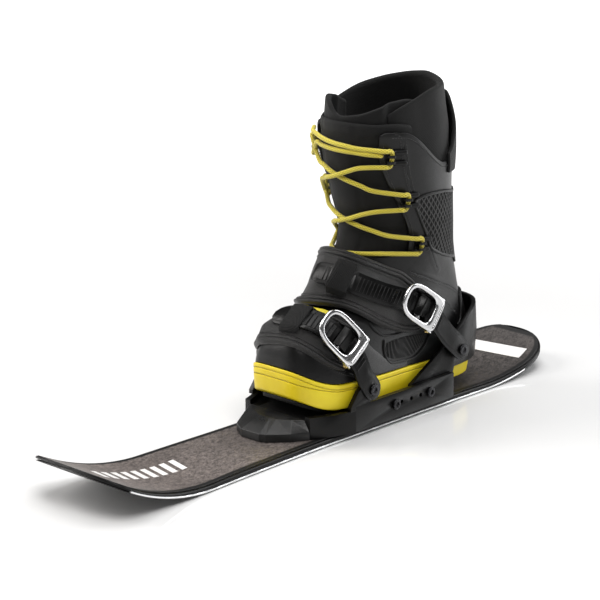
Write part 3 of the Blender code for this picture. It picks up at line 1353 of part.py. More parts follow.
def build_buckle(strap, buckle):
    """Ratchet buckle: base with two walls, ring lever with its drive drum, and the sprung pawl."""
    name = strap["name"] + "_buckle_"
    low, high = buckle.base_line(0.0), buckle.base_line(BUCKLE_PLATE)
    wide = BUCKLE_HALF + GAP
    base = add_part(name + "base", prism(low + high[::-1], -wide, wide), BLACK_PLASTIC, place=buckle.frame())
    middle = buckle.base_line(BUCKLE_PLATE * 0.55, 0.0008)
    inside = BUCKLE_HALF - BUCKLE_WALL
    root, tip = middle[0], middle[-1]
    wall = middle[::-1] + [(root[0], root[1] + 0.002)]
    wall += circle(LEVER_PIN_AT, PIN_BOSS, -20, 100, 5) + circle(RELEASE_PIN_AT, PIN_BOSS, 80, 150, 3)
    wall += [(tip[0], tip[1] + 0.003)]
    for side in (1, -1):
        join(base, prism(wall, *sorted((side * inside, side * BUCKLE_HALF))))
    cut(base, hole(LEVER_PIN_AT, PIVOT_PIN + PIN_PLAY))
    cut(base, hole(RELEASE_PIN_AT, RELEASE_PIN + PIN_PLAY))
    pin = rivet(PIVOT_PIN, PIN_BOSS - 0.0002, wide + GAP)
    add_part(name + "lever_pin", pin, BRASS, place=buckle.frame(*LEVER_PIN_AT))
    pin = rivet(RELEASE_PIN, RELEASE_PIN + 0.0008, wide + GAP)
    add_part(name + "release_pin", pin, STEEL, place=buckle.frame(*RELEASE_PIN_AT))
    build_lever(name, buckle)
    build_release(name, buckle)
    build_spring(name, buckle)


def build_lever(name, buckle):
    """Chromed ring with a rounded pull end and a square end over the drive drum, about its pin."""
    square, pull, half = LEVER_OVERHANG, LEVER_OVERHANG - LEVER_LENGTH, LEVER_WIDTH / 2
    corner = 0.0035
    outline = circle((square - corner, half - 0.001 - corner), corner, 0, 90, 3)
    outline += circle((pull + half * 0.72, half * 0.36), half * 0.64, 95, 180, 5)
    outline += [(x, -y) for x, y in outline[::-1]]
    bar = LEVER_BAR
    opening = circle((-0.0145, half - bar - 0.007), 0.007, 0, 90, 3)
    opening += circle((pull + half * 0.72, half * 0.36), half * 0.64 - bar, 95, 180, 4)
    opening += [(x, -y) for x, y in opening[::-1]]
    flat = Matrix(((1, 0, 0, 0), (0, 0, -1, 0), (0, 1, 0, 0), (0, 0, 0, 1)))
    level = LEVER_RISE + LEVER_THICK / 2
    ring = plate(outline, LEVER_THICK, Matrix.Translation((0, level, 0)) @ flat, [opening])
    lever = add_part(name + "lever", ring, CHROME, place=buckle.frame(*LEVER_PIN_AT))
    bevel(lever, 0.0008)
    ridge = level + LEVER_THICK / 2 + 0.0008
    drum = circle((0, 0), DRUM_RADIUS, 180, 360, 9) + [(DRUM_RADIUS, level), (0.0018, level), (0.0011, ridge)]
    drum += [(-0.0011, ridge), (-0.0018, level), (-DRUM_RADIUS, level)]
    inside = BUCKLE_HALF - BUCKLE_WALL - PIN_PLAY
    join(lever, prism(drum, -inside, inside))
    cut(lever, hole((0, 0), PIVOT_PIN + PIN_PLAY))


def build_release(name, buckle):
    """Release lever: a pawl that rests on the teeth, and a thumb tab inside the ring."""
    hub = RELEASE_PIN + PIN_PLAY + 0.0010
    tip = PAWL_TIP - RELEASE_PIN_AT[1]
    outline = circle((0, 0), hub, 60, 150, 5) + [(-0.0062, tip + 0.0006), (-0.0056, tip)]
    outline += circle((0, 0), hub, 235, 300, 4)
    outline += [(0.0085, -0.0006), (0.0125, 0.0016), (0.0122, 0.0034), (0.0080, 0.0014)]
    inside = BUCKLE_HALF - BUCKLE_WALL - GAP
    release = add_part(name + "release", prism(outline, -inside, inside - SPRING_ROOM), BLACK_PLASTIC,
                       place=buckle.frame(*RELEASE_PIN_AT))
    cut(release, hole((0, 0), RELEASE_PIN + PIN_PLAY))


def build_spring(name, buckle):
    """Torsion spring round the release pin, beside the release lever."""
    radius = RELEASE_PIN + GAP + SPRING_WIRE
    start = BUCKLE_HALF - BUCKLE_WALL - SPRING_ROOM + GAP + SPRING_WIRE
    turns, steps = 2.4, 15
    points = []
    for k in range(steps + 1):
        angle = math.radians(200) + 2 * math.pi * turns * k / steps
        rise = SPRING_PITCH * turns * k / steps
        points.append((radius * math.cos(angle), radius * math.sin(angle), start + rise))
    leg, arm = points[-1], points[0]
    points.append((leg[0] + 0.0006, BUCKLE_PLATE + 2 * GAP + SPRING_WIRE - RELEASE_PIN_AT[1], leg[2]))
    points.insert(0, (arm[0] - 0.0030, arm[1] - 0.0008, arm[2]))
    add_part(name + "spring", tube(points, SPRING_WIRE, 1), STEEL, place=buckle.frame(*RELEASE_PIN_AT))


def build_keeper(strap, route, tree):
    """Loop that holds the ladder's end down on the pad."""
    lengths = np.linspace(0, route_length(route), 300)
    turns = [route_turn(strap, along_route(route, d)[0]) for d in lengths]
    middle = lengths[int(np.argmin(np.abs(np.array(turns) - math.radians(strap["keeper_turn"]))))]
    rings = []
    half = LADDER_WIDTH / 2 + KEEPER_PLAY
    for d in np.linspace(-KEEPER_LONG / 2, KEEPER_LONG / 2, 8):
        place, out = along_route(route, middle + d)
        turn = route_turn(strap, place)
        centre = curve_through(turn, strap["ladder"])[0]
        feet = []
        for foot in (centre - half - KEEPER_FOOT / 2, centre + half + KEEPER_FOOT / 2):
            spans = np.linspace(foot - KEEPER_FOOT / 2, foot + KEEPER_FOOT / 2, 4)
            radius = max(outer_radius(strap, tree, turn + d, v) for v in spans for d in (-0.03, 0, 0.03))
            radius += SEAT_PLAY
            level = np.array((radius * math.cos(turn), strap["core"] + radius * math.sin(turn)))
            feet.append(float((level - place) @ out))
        near, far = feet
        under = max(LADDER_THICK + TOOTH_HEIGHT + SEAT_PLAY, max(feet) + GAP)
        over = under + KEEPER_THICK
        ring = [(centre - half - KEEPER_FOOT, near), (centre - half, near), (centre - half, under),
                (centre + half, under), (centre + half, far), (centre + half + KEEPER_FOOT, far),
                (centre + half + KEEPER_FOOT, far + 0.0014), (centre + half + 0.001, over),
                (centre - half - 0.001, over), (centre - half - KEEPER_FOOT, near + 0.0014)]
        rings.append([on_strap(strap, *(place + out * level), v) for v, level in ring])
    return add_part(strap["name"] + "_keeper", loft(rings), RUBBER)


def build_strap(strap, boot_tree, carriers):
    """A whole strap: pad, ladder, buckle, keeper, far arm and both of its screws."""
    name = strap["name"]
    pad = build_strap_pad(strap, boot_tree)
    tree = tree_of([pad, *carriers])
    face = RAIL_OUT
    if name == "ankle":
        face = max(RAIL_OUT, *[heel_face(strap["screw"], a) for a in range(0, 360, 45)])
    clear_root = math.degrees(math.atan2(0.016 - strap["core"], face))
    fixed = [(face + GAP, -LADDER_WIDTH / 2), (face + GAP, EAR_RADIUS + 0.002)]
    spread = BUCKLE_HALF + PIN_HEAD_THICK
    under = strap_route(strap, tree, clear_root, strap["tip_turn"], "ladder", spread, SEAT_PLAY, fixed)
    buckle = Buckle(strap, under)
    top_line = buckle.base_line(BUCKLE_PLATE + 2 * GAP)
    over_base = [buckle.origin + buckle.t * t + buckle.n * n for t, n in top_line]
    route = taut([(route_turn(strap, place), place) for place in [*under, *over_base]])
    total = route_length(route)
    teeth_from = buckle.distance - 0.030
    ladder = add_part(name + "_ladder", band(strap, route, "ladder", band_stations(
        total, teeth_from, LADDER_WIDTH), LADDER_WIDTH, LADDER_THICK, TOOTH_HEIGHT), LADDER_PLASTIC)
    x, z = strap["screw"]
    cut(ladder, cylinder(STRAP_SCREW_SHANK + PIN_PLAY, 0.02, (x, face, z)))
    build_buckle(strap, buckle)
    build_keeper(strap, route, tree)
    screw = socket_screw(STRAP_SCREW_SHANK, STRAP_SCREW_HEAD, STRAP_SCREW_HEAD_THICK,
                         face - RAIL_WALL + 0.0006, face + 2 * GAP + LADDER_THICK + TOOTH_VALLEY)
    far_x, far_z = strap["far_screw"]
    add_copies(name + "_strap_screw", screw, [facing(x, 1, z), facing(far_x, -1, far_z)], DARK_STEEL)
    far_along = (far_x - x) * math.cos(strap["slope"]) + (far_z - z) * math.sin(strap["slope"])
    fixed = [(-face - GAP, far_along + EAR_RADIUS + 0.002), (-face - GAP, far_along - ARM_WIDTH / 2)]
    clear_root = 360 + math.degrees(math.atan2(far_along + 0.016 - strap["core"], -face))
    spread = ARM_WIDTH / 2
    far_route = strap_route(strap, tree, strap["arm_turn"], clear_root, "arm", spread, SEAT_PLAY, fixed)
    arm = add_part(name + "_far_arm", band(strap, far_route, "arm", band_stations(
        route_length(far_route), wide=ARM_WIDTH), ARM_WIDTH, LADDER_THICK), LADDER_PLASTIC)
    cut(arm, cylinder(STRAP_SCREW_SHANK + PIN_PLAY, 0.02, (far_x, -face, far_z)))


def heel_face(screw, angle):
    """Outer face of the heel frame at the rim of the strap's root plate."""
    x = screw[0] + LADDER_WIDTH / 2 * math.cos(math.radians(angle))
    stations = heel_stations()
    near = [(px, py + ny * (FLANGE_THICK / 2 + CUP_BULGE)) for (px, py), (_, ny) in stations if py > 0]
    near.sort()
    return float(np.interp(x, [p[0] for p in near], [p[1] for p in near]))


def main():
    core, topsheet = build_ski()
    build_sole()
    shell, skin = build_shell()
    build_tongue()
    build_liner()
    base = build_base()
    build_mount_screws(core, topsheet)
    build_pads()
    build_toe_block()
    frame = build_heel_frame()
    build_frame_bolts()
    bare = tree_of([], skin)
    build_sewn_pieces(bare)
    build_pull_loop(bare)
    build_lace(build_hooks(bare))
    for strap in (ANKLE, TOE):
        build_strap(strap, bare, [shell, frame, base])


main()
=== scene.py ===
"""Looks of the skiboard with its strap binding and laced boot, in metres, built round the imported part."""

import json
import math

import bmesh
import bpy
import numpy as np
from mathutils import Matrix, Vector
from mathutils.bvhtree import BVHTree

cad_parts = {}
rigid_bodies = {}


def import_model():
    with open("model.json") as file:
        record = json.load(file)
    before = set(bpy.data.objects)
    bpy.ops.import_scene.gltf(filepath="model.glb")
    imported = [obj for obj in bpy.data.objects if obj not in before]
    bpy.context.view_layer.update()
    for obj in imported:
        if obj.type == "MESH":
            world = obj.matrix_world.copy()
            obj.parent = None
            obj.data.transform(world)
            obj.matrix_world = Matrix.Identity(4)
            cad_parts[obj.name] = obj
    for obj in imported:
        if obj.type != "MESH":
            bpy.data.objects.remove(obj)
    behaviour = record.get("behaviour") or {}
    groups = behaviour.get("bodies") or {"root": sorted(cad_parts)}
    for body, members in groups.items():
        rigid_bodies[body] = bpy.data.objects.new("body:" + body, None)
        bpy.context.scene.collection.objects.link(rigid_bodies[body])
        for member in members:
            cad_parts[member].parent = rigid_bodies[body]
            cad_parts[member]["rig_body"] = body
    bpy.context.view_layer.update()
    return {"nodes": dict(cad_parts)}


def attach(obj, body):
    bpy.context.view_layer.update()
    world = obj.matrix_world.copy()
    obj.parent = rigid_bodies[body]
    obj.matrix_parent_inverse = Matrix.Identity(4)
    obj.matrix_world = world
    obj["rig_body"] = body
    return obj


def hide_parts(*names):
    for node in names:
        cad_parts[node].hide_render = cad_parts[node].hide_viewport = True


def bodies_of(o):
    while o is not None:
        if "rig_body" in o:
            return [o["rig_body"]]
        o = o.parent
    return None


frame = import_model()

# Camera, fitted to the product view
CAMERA_AIM = Vector((-0.022, -0.037, 0.120))
CAMERA_TURN = math.radians(43.3)
CAMERA_RISE = math.radians(16.75)
CAMERA_DISTANCE = 2.684
CAMERA_LENS = 161.3

# Ski sizes
HALF_LENGTH = 0.325
WAIST_WIDTH = 0.101
TIP_WIDTH = 0.115
TAIL_WIDTH = 0.108
TIP_FROM = 0.188
TIP_RUN = 0.137
TIP_RISE = 0.041
TAIL_FROM = 0.206
TAIL_RUN = 0.119
TAIL_RISE = 0.0256
EDGE_FOOT = 0.0009
SKI_THICK = 0.0080
END_THICK = 0.0060
BASE_THICK = 0.0020
TOPSHEET_THICK = 0.0007
TOPSHEET_BORDER = 0.0030

# Boot sizes
BALL_HEIGHT = 0.0230
BOOT_TILT = math.radians(3.8)
TOE_SPRING = 0.017
SPRING_FROM = 0.225
HEEL_AT = -0.2155
BOOT_LENGTH = 0.275
MIDSOLE_THICK = 0.026
SHELL_WALL = 0.0035
TONGUE_THICK = 0.0025
SOFT_PLAY = 0.0008
LINER_PLAY = 0.0013
THROAT_HEIGHT = 0.142
TONGUE_TOP = 0.276
LACE_RADIUS = 0.0024
MAP_RADIUS = 0.055
CALF_RADIUS = 0.052
LINER_TOP_ROW = 0.3149
SLOT_TURN = math.radians(74)
SLOT_TAPER = math.radians(28)
DOUBLES = 2e-6

# Each buckle: its axes along the strap, outward and across it, and the middle of its lever pin
LEVER_PIN = {
    "ankle": ((-0.79775, 0.12300, -0.59031), (0.09887, 0.99241, 0.07316), (0.59482, 0.0, -0.80386),
              (-0.11307, 0.06051, 0.10448)),
    "toe": ((-0.56858, 0.35166, -0.74367), (0.21359, 0.93613, 0.27937), (0.79441, 0.0, -0.60738),
            (0.00059, 0.05830, 0.09188)),
}

# Outlines in a buckle's axes: rear end, front end, half width, squareness in front and behind
RING_OUTER = (-0.0520, 0.0045, 0.0189, 6.0, 2.7)
RING_INNER = (-0.0462, -0.0062, 0.0137, 4.2, 2.9)
CHEEK = (-0.0150, 0.0044, 0.0038, 4.0, 2.6)
CHEEK_MIDDLE = -0.0053
CHEEK_AT = 0.0170
CHEEK_THICK = 0.0016
LEVER_RISE = 0.0044
DRUM_RADIUS = 0.0038

# Profile of the hollow rivet: distance across the buckle, and radius
RIVET = ((0.0166, 0.00001), (0.0166, 0.0024), (0.0190, 0.0025), (0.0193, 0.0023), (0.0194, 0.0019),
         (0.0193, 0.0015), (0.0190, 0.0013), (0.0184, 0.0012), (0.0182, 0.00001))

# Lace hooks, from the top pair down: height on the boot, and length of the bars as a turn in degrees. They
# start a fixed turn past the slot's edge.
HOOKS = ((0.2455, 8.2), (0.2005, 5.8), (0.1525, 4.8))
HOOK_FROM = math.radians(12.6)
HOOK_BAR_APART = 0.0055

# Rows of the boot's outline: height, heel end, toe end, half width at the heel and at the ball, squareness
SOLE_ROWS = np.array((
    (0.000, 0.0020, 0.2710, 0.0410, 0.0490, 4.0),
    (0.026, 0.0000, 0.2735, 0.0430, 0.0510, 4.0),
))
UPPER_ROWS = np.array((
    (0.026, 0.0015, 0.2718, 0.0418, 0.0496, 4.0),
    (0.031, 0.0018, 0.2717, 0.0420, 0.0496, 3.9),
    (0.040, 0.0035, 0.2712, 0.0427, 0.0493, 3.6),
    (0.052, 0.0060, 0.2685, 0.0430, 0.0480, 3.3),
    (0.066, 0.0090, 0.2605, 0.0430, 0.0460, 3.0),
    (0.077, 0.0115, 0.2495, 0.0430, 0.0440, 2.7),
    (0.085, 0.0135, 0.2350, 0.0430, 0.0420, 2.5),
    (0.094, 0.0160, 0.2140, 0.0430, 0.0410, 2.3),
    (0.108, 0.0200, 0.2035, 0.0430, 0.0405, 2.2),
    (0.129, 0.0270, 0.1930, 0.0445, 0.0405, 2.1),
    (0.144, 0.0310, 0.1860, 0.0470, 0.0420, 2.0),
    (0.162, 0.0360, 0.1805, 0.0500, 0.0450, 2.0),
    (0.201, 0.0425, 0.1905, 0.0540, 0.0520, 2.0),
    (0.250, 0.0470, 0.2050, 0.0580, 0.0570, 2.0),
    (0.270, 0.0500, 0.2065, 0.0590, 0.0580, 2.0),
    (0.290, 0.0560, 0.2070, 0.0580, 0.0570, 2.0),
    (0.315, 0.0620, 0.2060, 0.0570, 0.0550, 2.0),
))

# Points that the lace follows, in millimetres, from its near end at the top to its far end
LACE_ROUTE = (
    (-50.4, 44.3, 276.4), (-40.7, 35.1, 277.7), (-34.9, 24.1, 278.9), (-30.2, 13.9, 279.7),
    (-27.8, 3.4, 280.4), (-28.3, -7.2, 280.9), (-31.5, -17.6, 281.1), (-36.5, -28.1, 281.2),
    (-51.3, -46.2, 264.9), (-55.8, -48.2, 264.5), (-58.6, -49.4, 266.1), (-59.3, -50.5, 272.5),
    (-58.7, -50.9, 279.0), (-55.9, -50.2, 280.9), (-51.4, -48.1, 281.0), (-39.4, -27.8, 263.4),
    (-35.0, -17.1, 260.1), (-32.7, -6.6, 256.4), (-33.4, 4.1, 252.5), (-37.0, 14.4, 248.4),
    (-43.3, 24.1, 244.1), (-50.9, 34.0, 239.2), (-74.0, 51.7, 234.0), (-78.7, 53.1, 233.9),
    (-81.7, 53.2, 232.0), (-82.3, 52.2, 225.6), (-81.6, 50.8, 219.2), (-78.7, 49.9, 217.6),
    (-73.9, 48.7, 218.1), (-58.1, 32.5, 216.6), (-50.0, 20.3, 213.2), (-42.9, 8.7, 208.5),
    (-41.8, -5.1, 204.1), (-50.7, -16.4, 200.3), (-60.0, -26.5, 195.5), (-71.8, -36.4, 190.2),
    (-97.6, -47.4, 168.5), (-102.4, -48.2, 168.0), (-105.5, -48.7, 169.7), (-106.4, -49.8, 176.0),
    (-105.9, -50.6, 182.5), (-103.0, -50.7, 184.4), (-98.1, -49.8, 184.5), (-67.6, -33.8, 172.3),
    (-53.2, -23.0, 173.1), (-43.5, -12.0, 173.6), (-40.3, 0.0, 173.8), (-43.5, 12.0, 173.6),
    (-53.2, 23.0, 173.1), (-67.6, 33.8, 172.3), (-97.6, 47.4, 168.5), (-102.4, 48.1, 168.0),
    (-105.5, 48.6, 169.7), (-106.4, 49.8, 176.0), (-105.9, 50.6, 182.5), (-103.0, 50.6, 184.4),
    (-98.1, 49.8, 184.5), (-71.8, 36.4, 190.2), (-60.0, 26.5, 195.5), (-51.1, 16.2, 200.4),
    (-46.2, 4.5, 205.0), (-45.8, -7.9, 209.3), (-50.1, -20.3, 213.3), (-58.1, -32.5, 216.6),
    (-74.0, -51.7, 234.0), (-78.7, -53.1, 233.9), (-81.7, -53.3, 232.0), (-82.3, -52.3, 225.6),
    (-81.6, -50.8, 219.2), (-78.6, -49.9, 217.6), (-73.9, -48.7, 218.1), (-50.9, -34.0, 239.2),
    (-43.2, -24.2, 244.0), (-35.9, -14.8, 248.1), (-28.8, -4.5, 251.2), (-28.8, 7.2, 255.4),
    (-34.3, 17.4, 259.9), (-39.4, 27.8, 263.4), (-51.3, 46.2, 264.9), (-55.8, 48.2, 264.5),
    (-58.6, 49.4, 266.1), (-59.3, 50.5, 272.5), (-58.7, 50.9, 279.0), (-55.9, 50.2, 280.9),
    (-51.4, 48.1, 281.0), (-36.2, 27.8, 283.0), (-31.1, 17.0, 284.7), (-27.9, 6.1, 286.1),
    (-27.7, -4.9, 287.4), (-30.5, -15.9, 288.4), (-35.5, -26.7, 289.3), (-42.2, -38.2, 289.9),
    (-53.1, -47.0, 290.4),
)


def set_camera():
    """Camera at the product view: three quarters from the front on the buckle side, a little above."""
    level = math.cos(CAMERA_RISE)
    towards = Vector((level * math.cos(CAMERA_TURN), level * math.sin(CAMERA_TURN), math.sin(CAMERA_RISE)))
    camera = bpy.data.objects.new("camera", bpy.data.cameras.new("camera"))
    bpy.context.scene.collection.objects.link(camera)
    camera.location = CAMERA_AIM + CAMERA_DISTANCE * towards
    camera.rotation_euler = towards.to_track_quat("Z", "Y").to_euler()
    camera.data.lens = CAMERA_LENS
    camera.data.sensor_width = 36.0
    bpy.context.scene.camera = camera
    bpy.context.scene.view_settings.view_transform = "Standard"


set_camera()


# Materials
class Finish:
    """A material whose nodes are added one at a time; each call gives back the new node's output."""

    def __init__(self, name):
        self.material = bpy.data.materials.new(name)
        self.material.use_nodes = True
        self.tree = self.material.node_tree
        self.shader = self.tree.nodes["Principled BSDF"]
        self.place = self.node("ShaderNodeTexCoord").outputs["Object"]

    def node(self, kind, **settings):
        node = self.tree.nodes.new(kind)
        for key, value in settings.items():
            setattr(node, key, value)
        return node

    def fill(self, socket, value):
        if isinstance(value, bpy.types.NodeSocket):
            self.tree.links.new(value, socket)
        elif hasattr(value, "__len__") and len(value) == 3 and len(socket.default_value) == 4:
            socket.default_value = (*value, 1.0)
        else:
            socket.default_value = value

    def attribute(self, name):
        return self.node("ShaderNodeAttribute", attribute_name=name).outputs["Fac"]

    def uv(self):
        return self.node("ShaderNodeUVMap").outputs["UV"]

    def stretched(self, vector, scale, turn=(0.0, 0.0, 0.0)):
        node = self.node("ShaderNodeMapping")
        self.fill(node.inputs["Vector"], vector)
        node.inputs["Scale"].default_value = scale
        node.inputs["Rotation"].default_value = turn
        return node.outputs["Vector"]

    def noise(self, scale, detail=3.0, rough=0.55, vector=None):
        node = self.node("ShaderNodeTexNoise")
        self.fill(node.inputs["Vector"], self.place if vector is None else vector)
        for key, value in (("Scale", scale), ("Detail", detail), ("Roughness", rough)):
            node.inputs[key].default_value = value
        return node.outputs["Fac"]

    def cells(self, scale, feature="F1"):
        node = self.node("ShaderNodeTexVoronoi", feature=feature)
        self.fill(node.inputs["Vector"], self.place)
        node.inputs["Scale"].default_value = scale
        return node.outputs["Distance"]

    def parts(self, vector):
        return self.fill_and(self.node("ShaderNodeSeparateXYZ"), vector).outputs

    def fill_and(self, node, *values):
        for socket, value in zip(node.inputs, values):
            self.fill(socket, value)
        return node

    def sum(self, operation, *values):
        return self.fill_and(self.node("ShaderNodeMath", operation=operation), *values).outputs[0]

    def between(self, value, low, high, to_low=0.0, to_high=1.0):
        node = self.node("ShaderNodeMapRange", interpolation_type="SMOOTHSTEP")
        return self.fill_and(node, value, low, high, to_low, to_high).outputs[0]

    def blend(self, share, one, two):
        node = self.node("ShaderNodeMix", data_type="RGBA")
        for name, value in (("Factor", share), ("A", one), ("B", two)):
            sockets = [s for s in node.inputs if s.name == name and s.enabled]
            self.fill(sockets[0], value)
        return [s for s in node.outputs if s.enabled][0]

    def shade(self, value, low, high, one, two, most=1.0):
        """One colour, which gives way to the other by up to a share as the value goes from low to high."""
        return self.blend(self.between(value, low, high, 0.0, most), one, two)

    def weighed(self, one, share, two, other):
        return self.sum("ADD", self.sum("MULTIPLY", one, share), self.sum("MULTIPLY", two, other))

    def wave(self, value, times):
        return self.sum("SINE", self.sum("MULTIPLY", value, times))

    def relief(self, height, distance, strength=1.0, under=None):
        node = self.node("ShaderNodeBump")
        self.fill(node.inputs["Height"], height)
        node.inputs["Distance"].default_value = distance
        node.inputs["Strength"].default_value = strength
        if under is not None:
            self.fill(node.inputs["Normal"], under)
        return node.outputs["Normal"]

    def done(self, colour, rough, normal=None, **others):
        self.fill(self.shader.inputs["Base Color"], colour)
        self.fill(self.shader.inputs["Roughness"], rough)
        if normal is not None:
            self.fill(self.shader.inputs["Normal"], normal)
        for key, value in others.items():
            self.shader.inputs[key.replace("_", " ")].default_value = value
        return self.material


def worn_edges(finish):
    """Share that is one on outer edges, where parts rub."""
    return finish.between(finish.node("ShaderNodeNewGeometry").outputs["Pointiness"], 0.52, 0.60)


def moulded(name, dark, light, rough, grain=0.00006):
    """Moulded plastic: a fine spark-eroded grain, soft blotches and paler rubbed edges."""
    f = Finish(name)
    blotches = f.noise(38.0, 4.0)
    fine = f.noise(2600.0, 2.0, 0.6)
    specks = f.cells(1500.0)
    colour = f.shade(blotches, 0.35, 0.68, dark, light)
    colour = f.shade(fine, 0.56, 0.74, colour, tuple(min(1.0, c * 1.9) for c in light), 0.35)
    rubbed = tuple(min(1.0, c * 2.2 + 0.01) for c in light)
    colour = f.blend(f.sum("MULTIPLY", worn_edges(f), 0.45), colour, rubbed)
    height = f.weighed(fine, 0.6, specks, 0.5)
    return f.done(colour, f.between(blotches, 0.3, 0.7, rough - 0.05, rough + 0.08), f.relief(height, grain),
                  Specular_IOR_Level=0.24)


def chromed(name, tone, rough):
    """Bright metal plating: long fine polishing marks and a slightly uneven gloss."""
    f = Finish(name)
    marks = f.noise(90.0, 5.0, 0.7, f.stretched(f.place, (1.0, 6.0, 14.0)))
    haze = f.noise(60.0, 3.0)
    colour = f.shade(haze, 0.35, 0.7, tone, tuple(c * 0.86 for c in tone))
    gloss = f.between(f.weighed(marks, 0.5, haze, 0.5),
                      0.35, 0.68, rough * 0.7, rough * 1.6)
    return f.done(colour, gloss, f.relief(marks, 0.00002), Metallic=1.0)


def leather_like(name, dark, light, rough, seams=True):
    """Coated upper: pebbled grain, soft creases and, along the carved lines, a dark groove."""
    f = Finish(name)
    blotches = f.noise(22.0, 5.0, 0.6)
    pebbles = f.cells(1100.0, feature="SMOOTH_F1")
    fine = f.noise(1900.0, 2.0)
    creases = f.noise(120.0, 6.0, 0.65, f.stretched(f.place, (1.0, 1.0, 2.2)))
    colour = f.shade(blotches, 0.32, 0.7, dark, light)
    colour = f.shade(pebbles, 0.30, 0.62, colour, tuple(c * 1.5 for c in light), 0.35)
    height = f.weighed(pebbles, 0.55, fine, 0.35)
    normal = f.relief(height, 0.00010)
    normal = f.relief(creases, 0.0005, 0.5, normal)
    if seams:
        near = f.between(f.attribute("seam"), 0.0, 0.0011)
        colour = f.blend(near, tuple(c * 0.25 for c in dark), colour)
        normal = f.relief(near, 0.0007, 1.0, normal)
    return f.done(colour, f.between(blotches, 0.3, 0.7, rough - 0.05, rough + 0.07), normal,
                  Specular_IOR_Level=0.26)


def woven(name, dark, light, rough, threads=900.0, sheen=0.3):
    """Woven or knitted cloth on the piece's own map: two crossing rows of threads, with lint and fading."""
    f = Finish(name)
    across = f.parts(f.stretched(f.uv(), (threads, threads, 1.0)))
    over = f.wave(across[0], math.tau)
    along = f.wave(across[1], math.tau)
    weave = f.sum("MULTIPLY", over, along)
    lint = f.noise(1400.0, 3.0)
    fade = f.noise(30.0, 4.0)
    colour = f.shade(weave, -0.8, 0.9, dark, light)
    colour = f.shade(fade, 0.3, 0.7, colour, tuple(c * 1.35 for c in light), 0.5)
    height = f.sum("ADD", weave, f.sum("MULTIPLY", lint, 0.8))
    material = f.done(colour, f.between(lint, 0.3, 0.7, rough - 0.05, rough + 0.06),
                      f.relief(height, 0.00013), Sheen_Roughness=0.5)
    f.shader.inputs["Sheen Weight"].default_value = sheen
    f.shader.inputs["Specular IOR Level"].default_value = 0.22
    return material


def grey(level):
    """A neutral colour from a screen level of 0 to 255."""
    value = (level / 255.0) ** 2.2
    return value, value, value


def tint(red, green, blue):
    """A colour from screen levels of 0 to 255."""
    return tuple((c / 255.0) ** 2.2 for c in (red, green, blue))


# Shapes
def ease(value, low, high):
    """Smooth step from 0 at low to 1 at high: t squared times three less two t."""
    share = np.clip((np.asarray(value, float) - low) / (high - low), 0.0, 1.0)
    return share * share * (3.0 - 2.0 * share)


def smooth_shaded(mesh):
    mesh.polygons.foreach_set("use_smooth", np.ones(len(mesh.polygons), bool))


def surface(name, grid, material, wrap=False, keep=None, uv=None, values=None):
    """Piece on a grid of rows by columns by 3. Each cell is a quad, with its outer face towards the cross
    product of the column step and the row step. wrap joins the last column to the first."""
    rows, cols = grid.shape[:2]
    col = np.arange(cols if wrap else cols - 1)
    row = np.arange(rows - 1)[:, None]
    right = (col + 1) % cols
    quads = np.stack([row * cols + col, row * cols + right, (row + 1) * cols + right,
                      (row + 1) * cols + col], -1)
    wide = cols + 1 if wrap else cols
    marks = np.stack([row * wide + col, row * wide + col + 1, (row + 1) * wide + col + 1,
                      (row + 1) * wide + col], -1)
    if keep is not None:
        quads, marks = quads[keep], marks[keep]
    quads, marks = quads.reshape(-1, 4), marks.reshape(-1, 4)
    mesh = bpy.data.meshes.new(name)
    mesh.vertices.add(rows * cols)
    mesh.vertices.foreach_set("co", np.ascontiguousarray(grid, np.float32).ravel())
    mesh.loops.add(quads.size)
    mesh.loops.foreach_set("vertex_index", quads.ravel().astype(np.int32))
    mesh.polygons.add(len(quads))
    mesh.polygons.foreach_set("loop_start", np.arange(0, quads.size, 4, dtype=np.int32))
    mesh.update(calc_edges=True)
    if uv is not None:
        layer = mesh.uv_layers.new(name="UVMap")
        layer.data.foreach_set("uv", uv.reshape(-1, 2)[marks.ravel()].astype(np.float32).ravel())
    for key, value in (values or {}).items():
        mesh.attributes.new(key, "FLOAT", "POINT").data.foreach_set("value", value.astype(np.float32).ravel())
    mesh.validate()
    smooth_shaded(mesh)
    return piece(name, mesh, material)


def piece(name, mesh, material):
    thing = bpy.data.objects.new(name, mesh)
    bpy.context.scene.collection.objects.link(thing)
    mesh.materials.clear()
    mesh.materials.append(material)
    return thing


def run_along(line):
    """Length of a line up to each of its points."""
    return np.concatenate([[0], np.cumsum(np.linalg.norm(np.diff(line, axis=0), axis=1))])


def unit(vectors):
    return vectors / np.linalg.norm(vectors, axis=1, keepdims=True)


def round_turns(count):
    """Even turns round a full circle, without the last one, which is the first again."""
    return np.linspace(0, math.tau, count, endpoint=False)


def blunt(value, power):
    """Value's size to a power, with its own sign: it gives a circle's cosine and sine flatter sides."""
    return np.sign(value) * np.abs(value) ** power


def reworked(thing, faces=(), merge=0.0, thin=0.0, outwards=True):
    """Adds faces given by the numbers of their corners, merges doubles, dissolves thin leftovers and turns
    the faces outwards."""
    bm = bmesh.new()
    bm.from_mesh(thing.data)
    bm.verts.ensure_lookup_table()
    for corners in faces:
        bm.faces.new([bm.verts[k] for k in corners])
    if merge:
        bmesh.ops.remove_doubles(bm, verts=bm.verts, dist=merge)
    if thin:
        bmesh.ops.dissolve_degenerate(bm, edges=bm.edges, dist=thin)
    if outwards:
        bmesh.ops.recalc_face_normals(bm, faces=bm.faces)
    bm.to_mesh(thing.data)
    bm.free()
    smooth_shaded(thing.data)
    return thing


def both_ends(thing, count):
    """Corners of the faces that close the first and the last ring of a wrapped grid."""
    total = len(thing.data.vertices)
    return range(count), range(total - 1, total - 1 - count, -1)


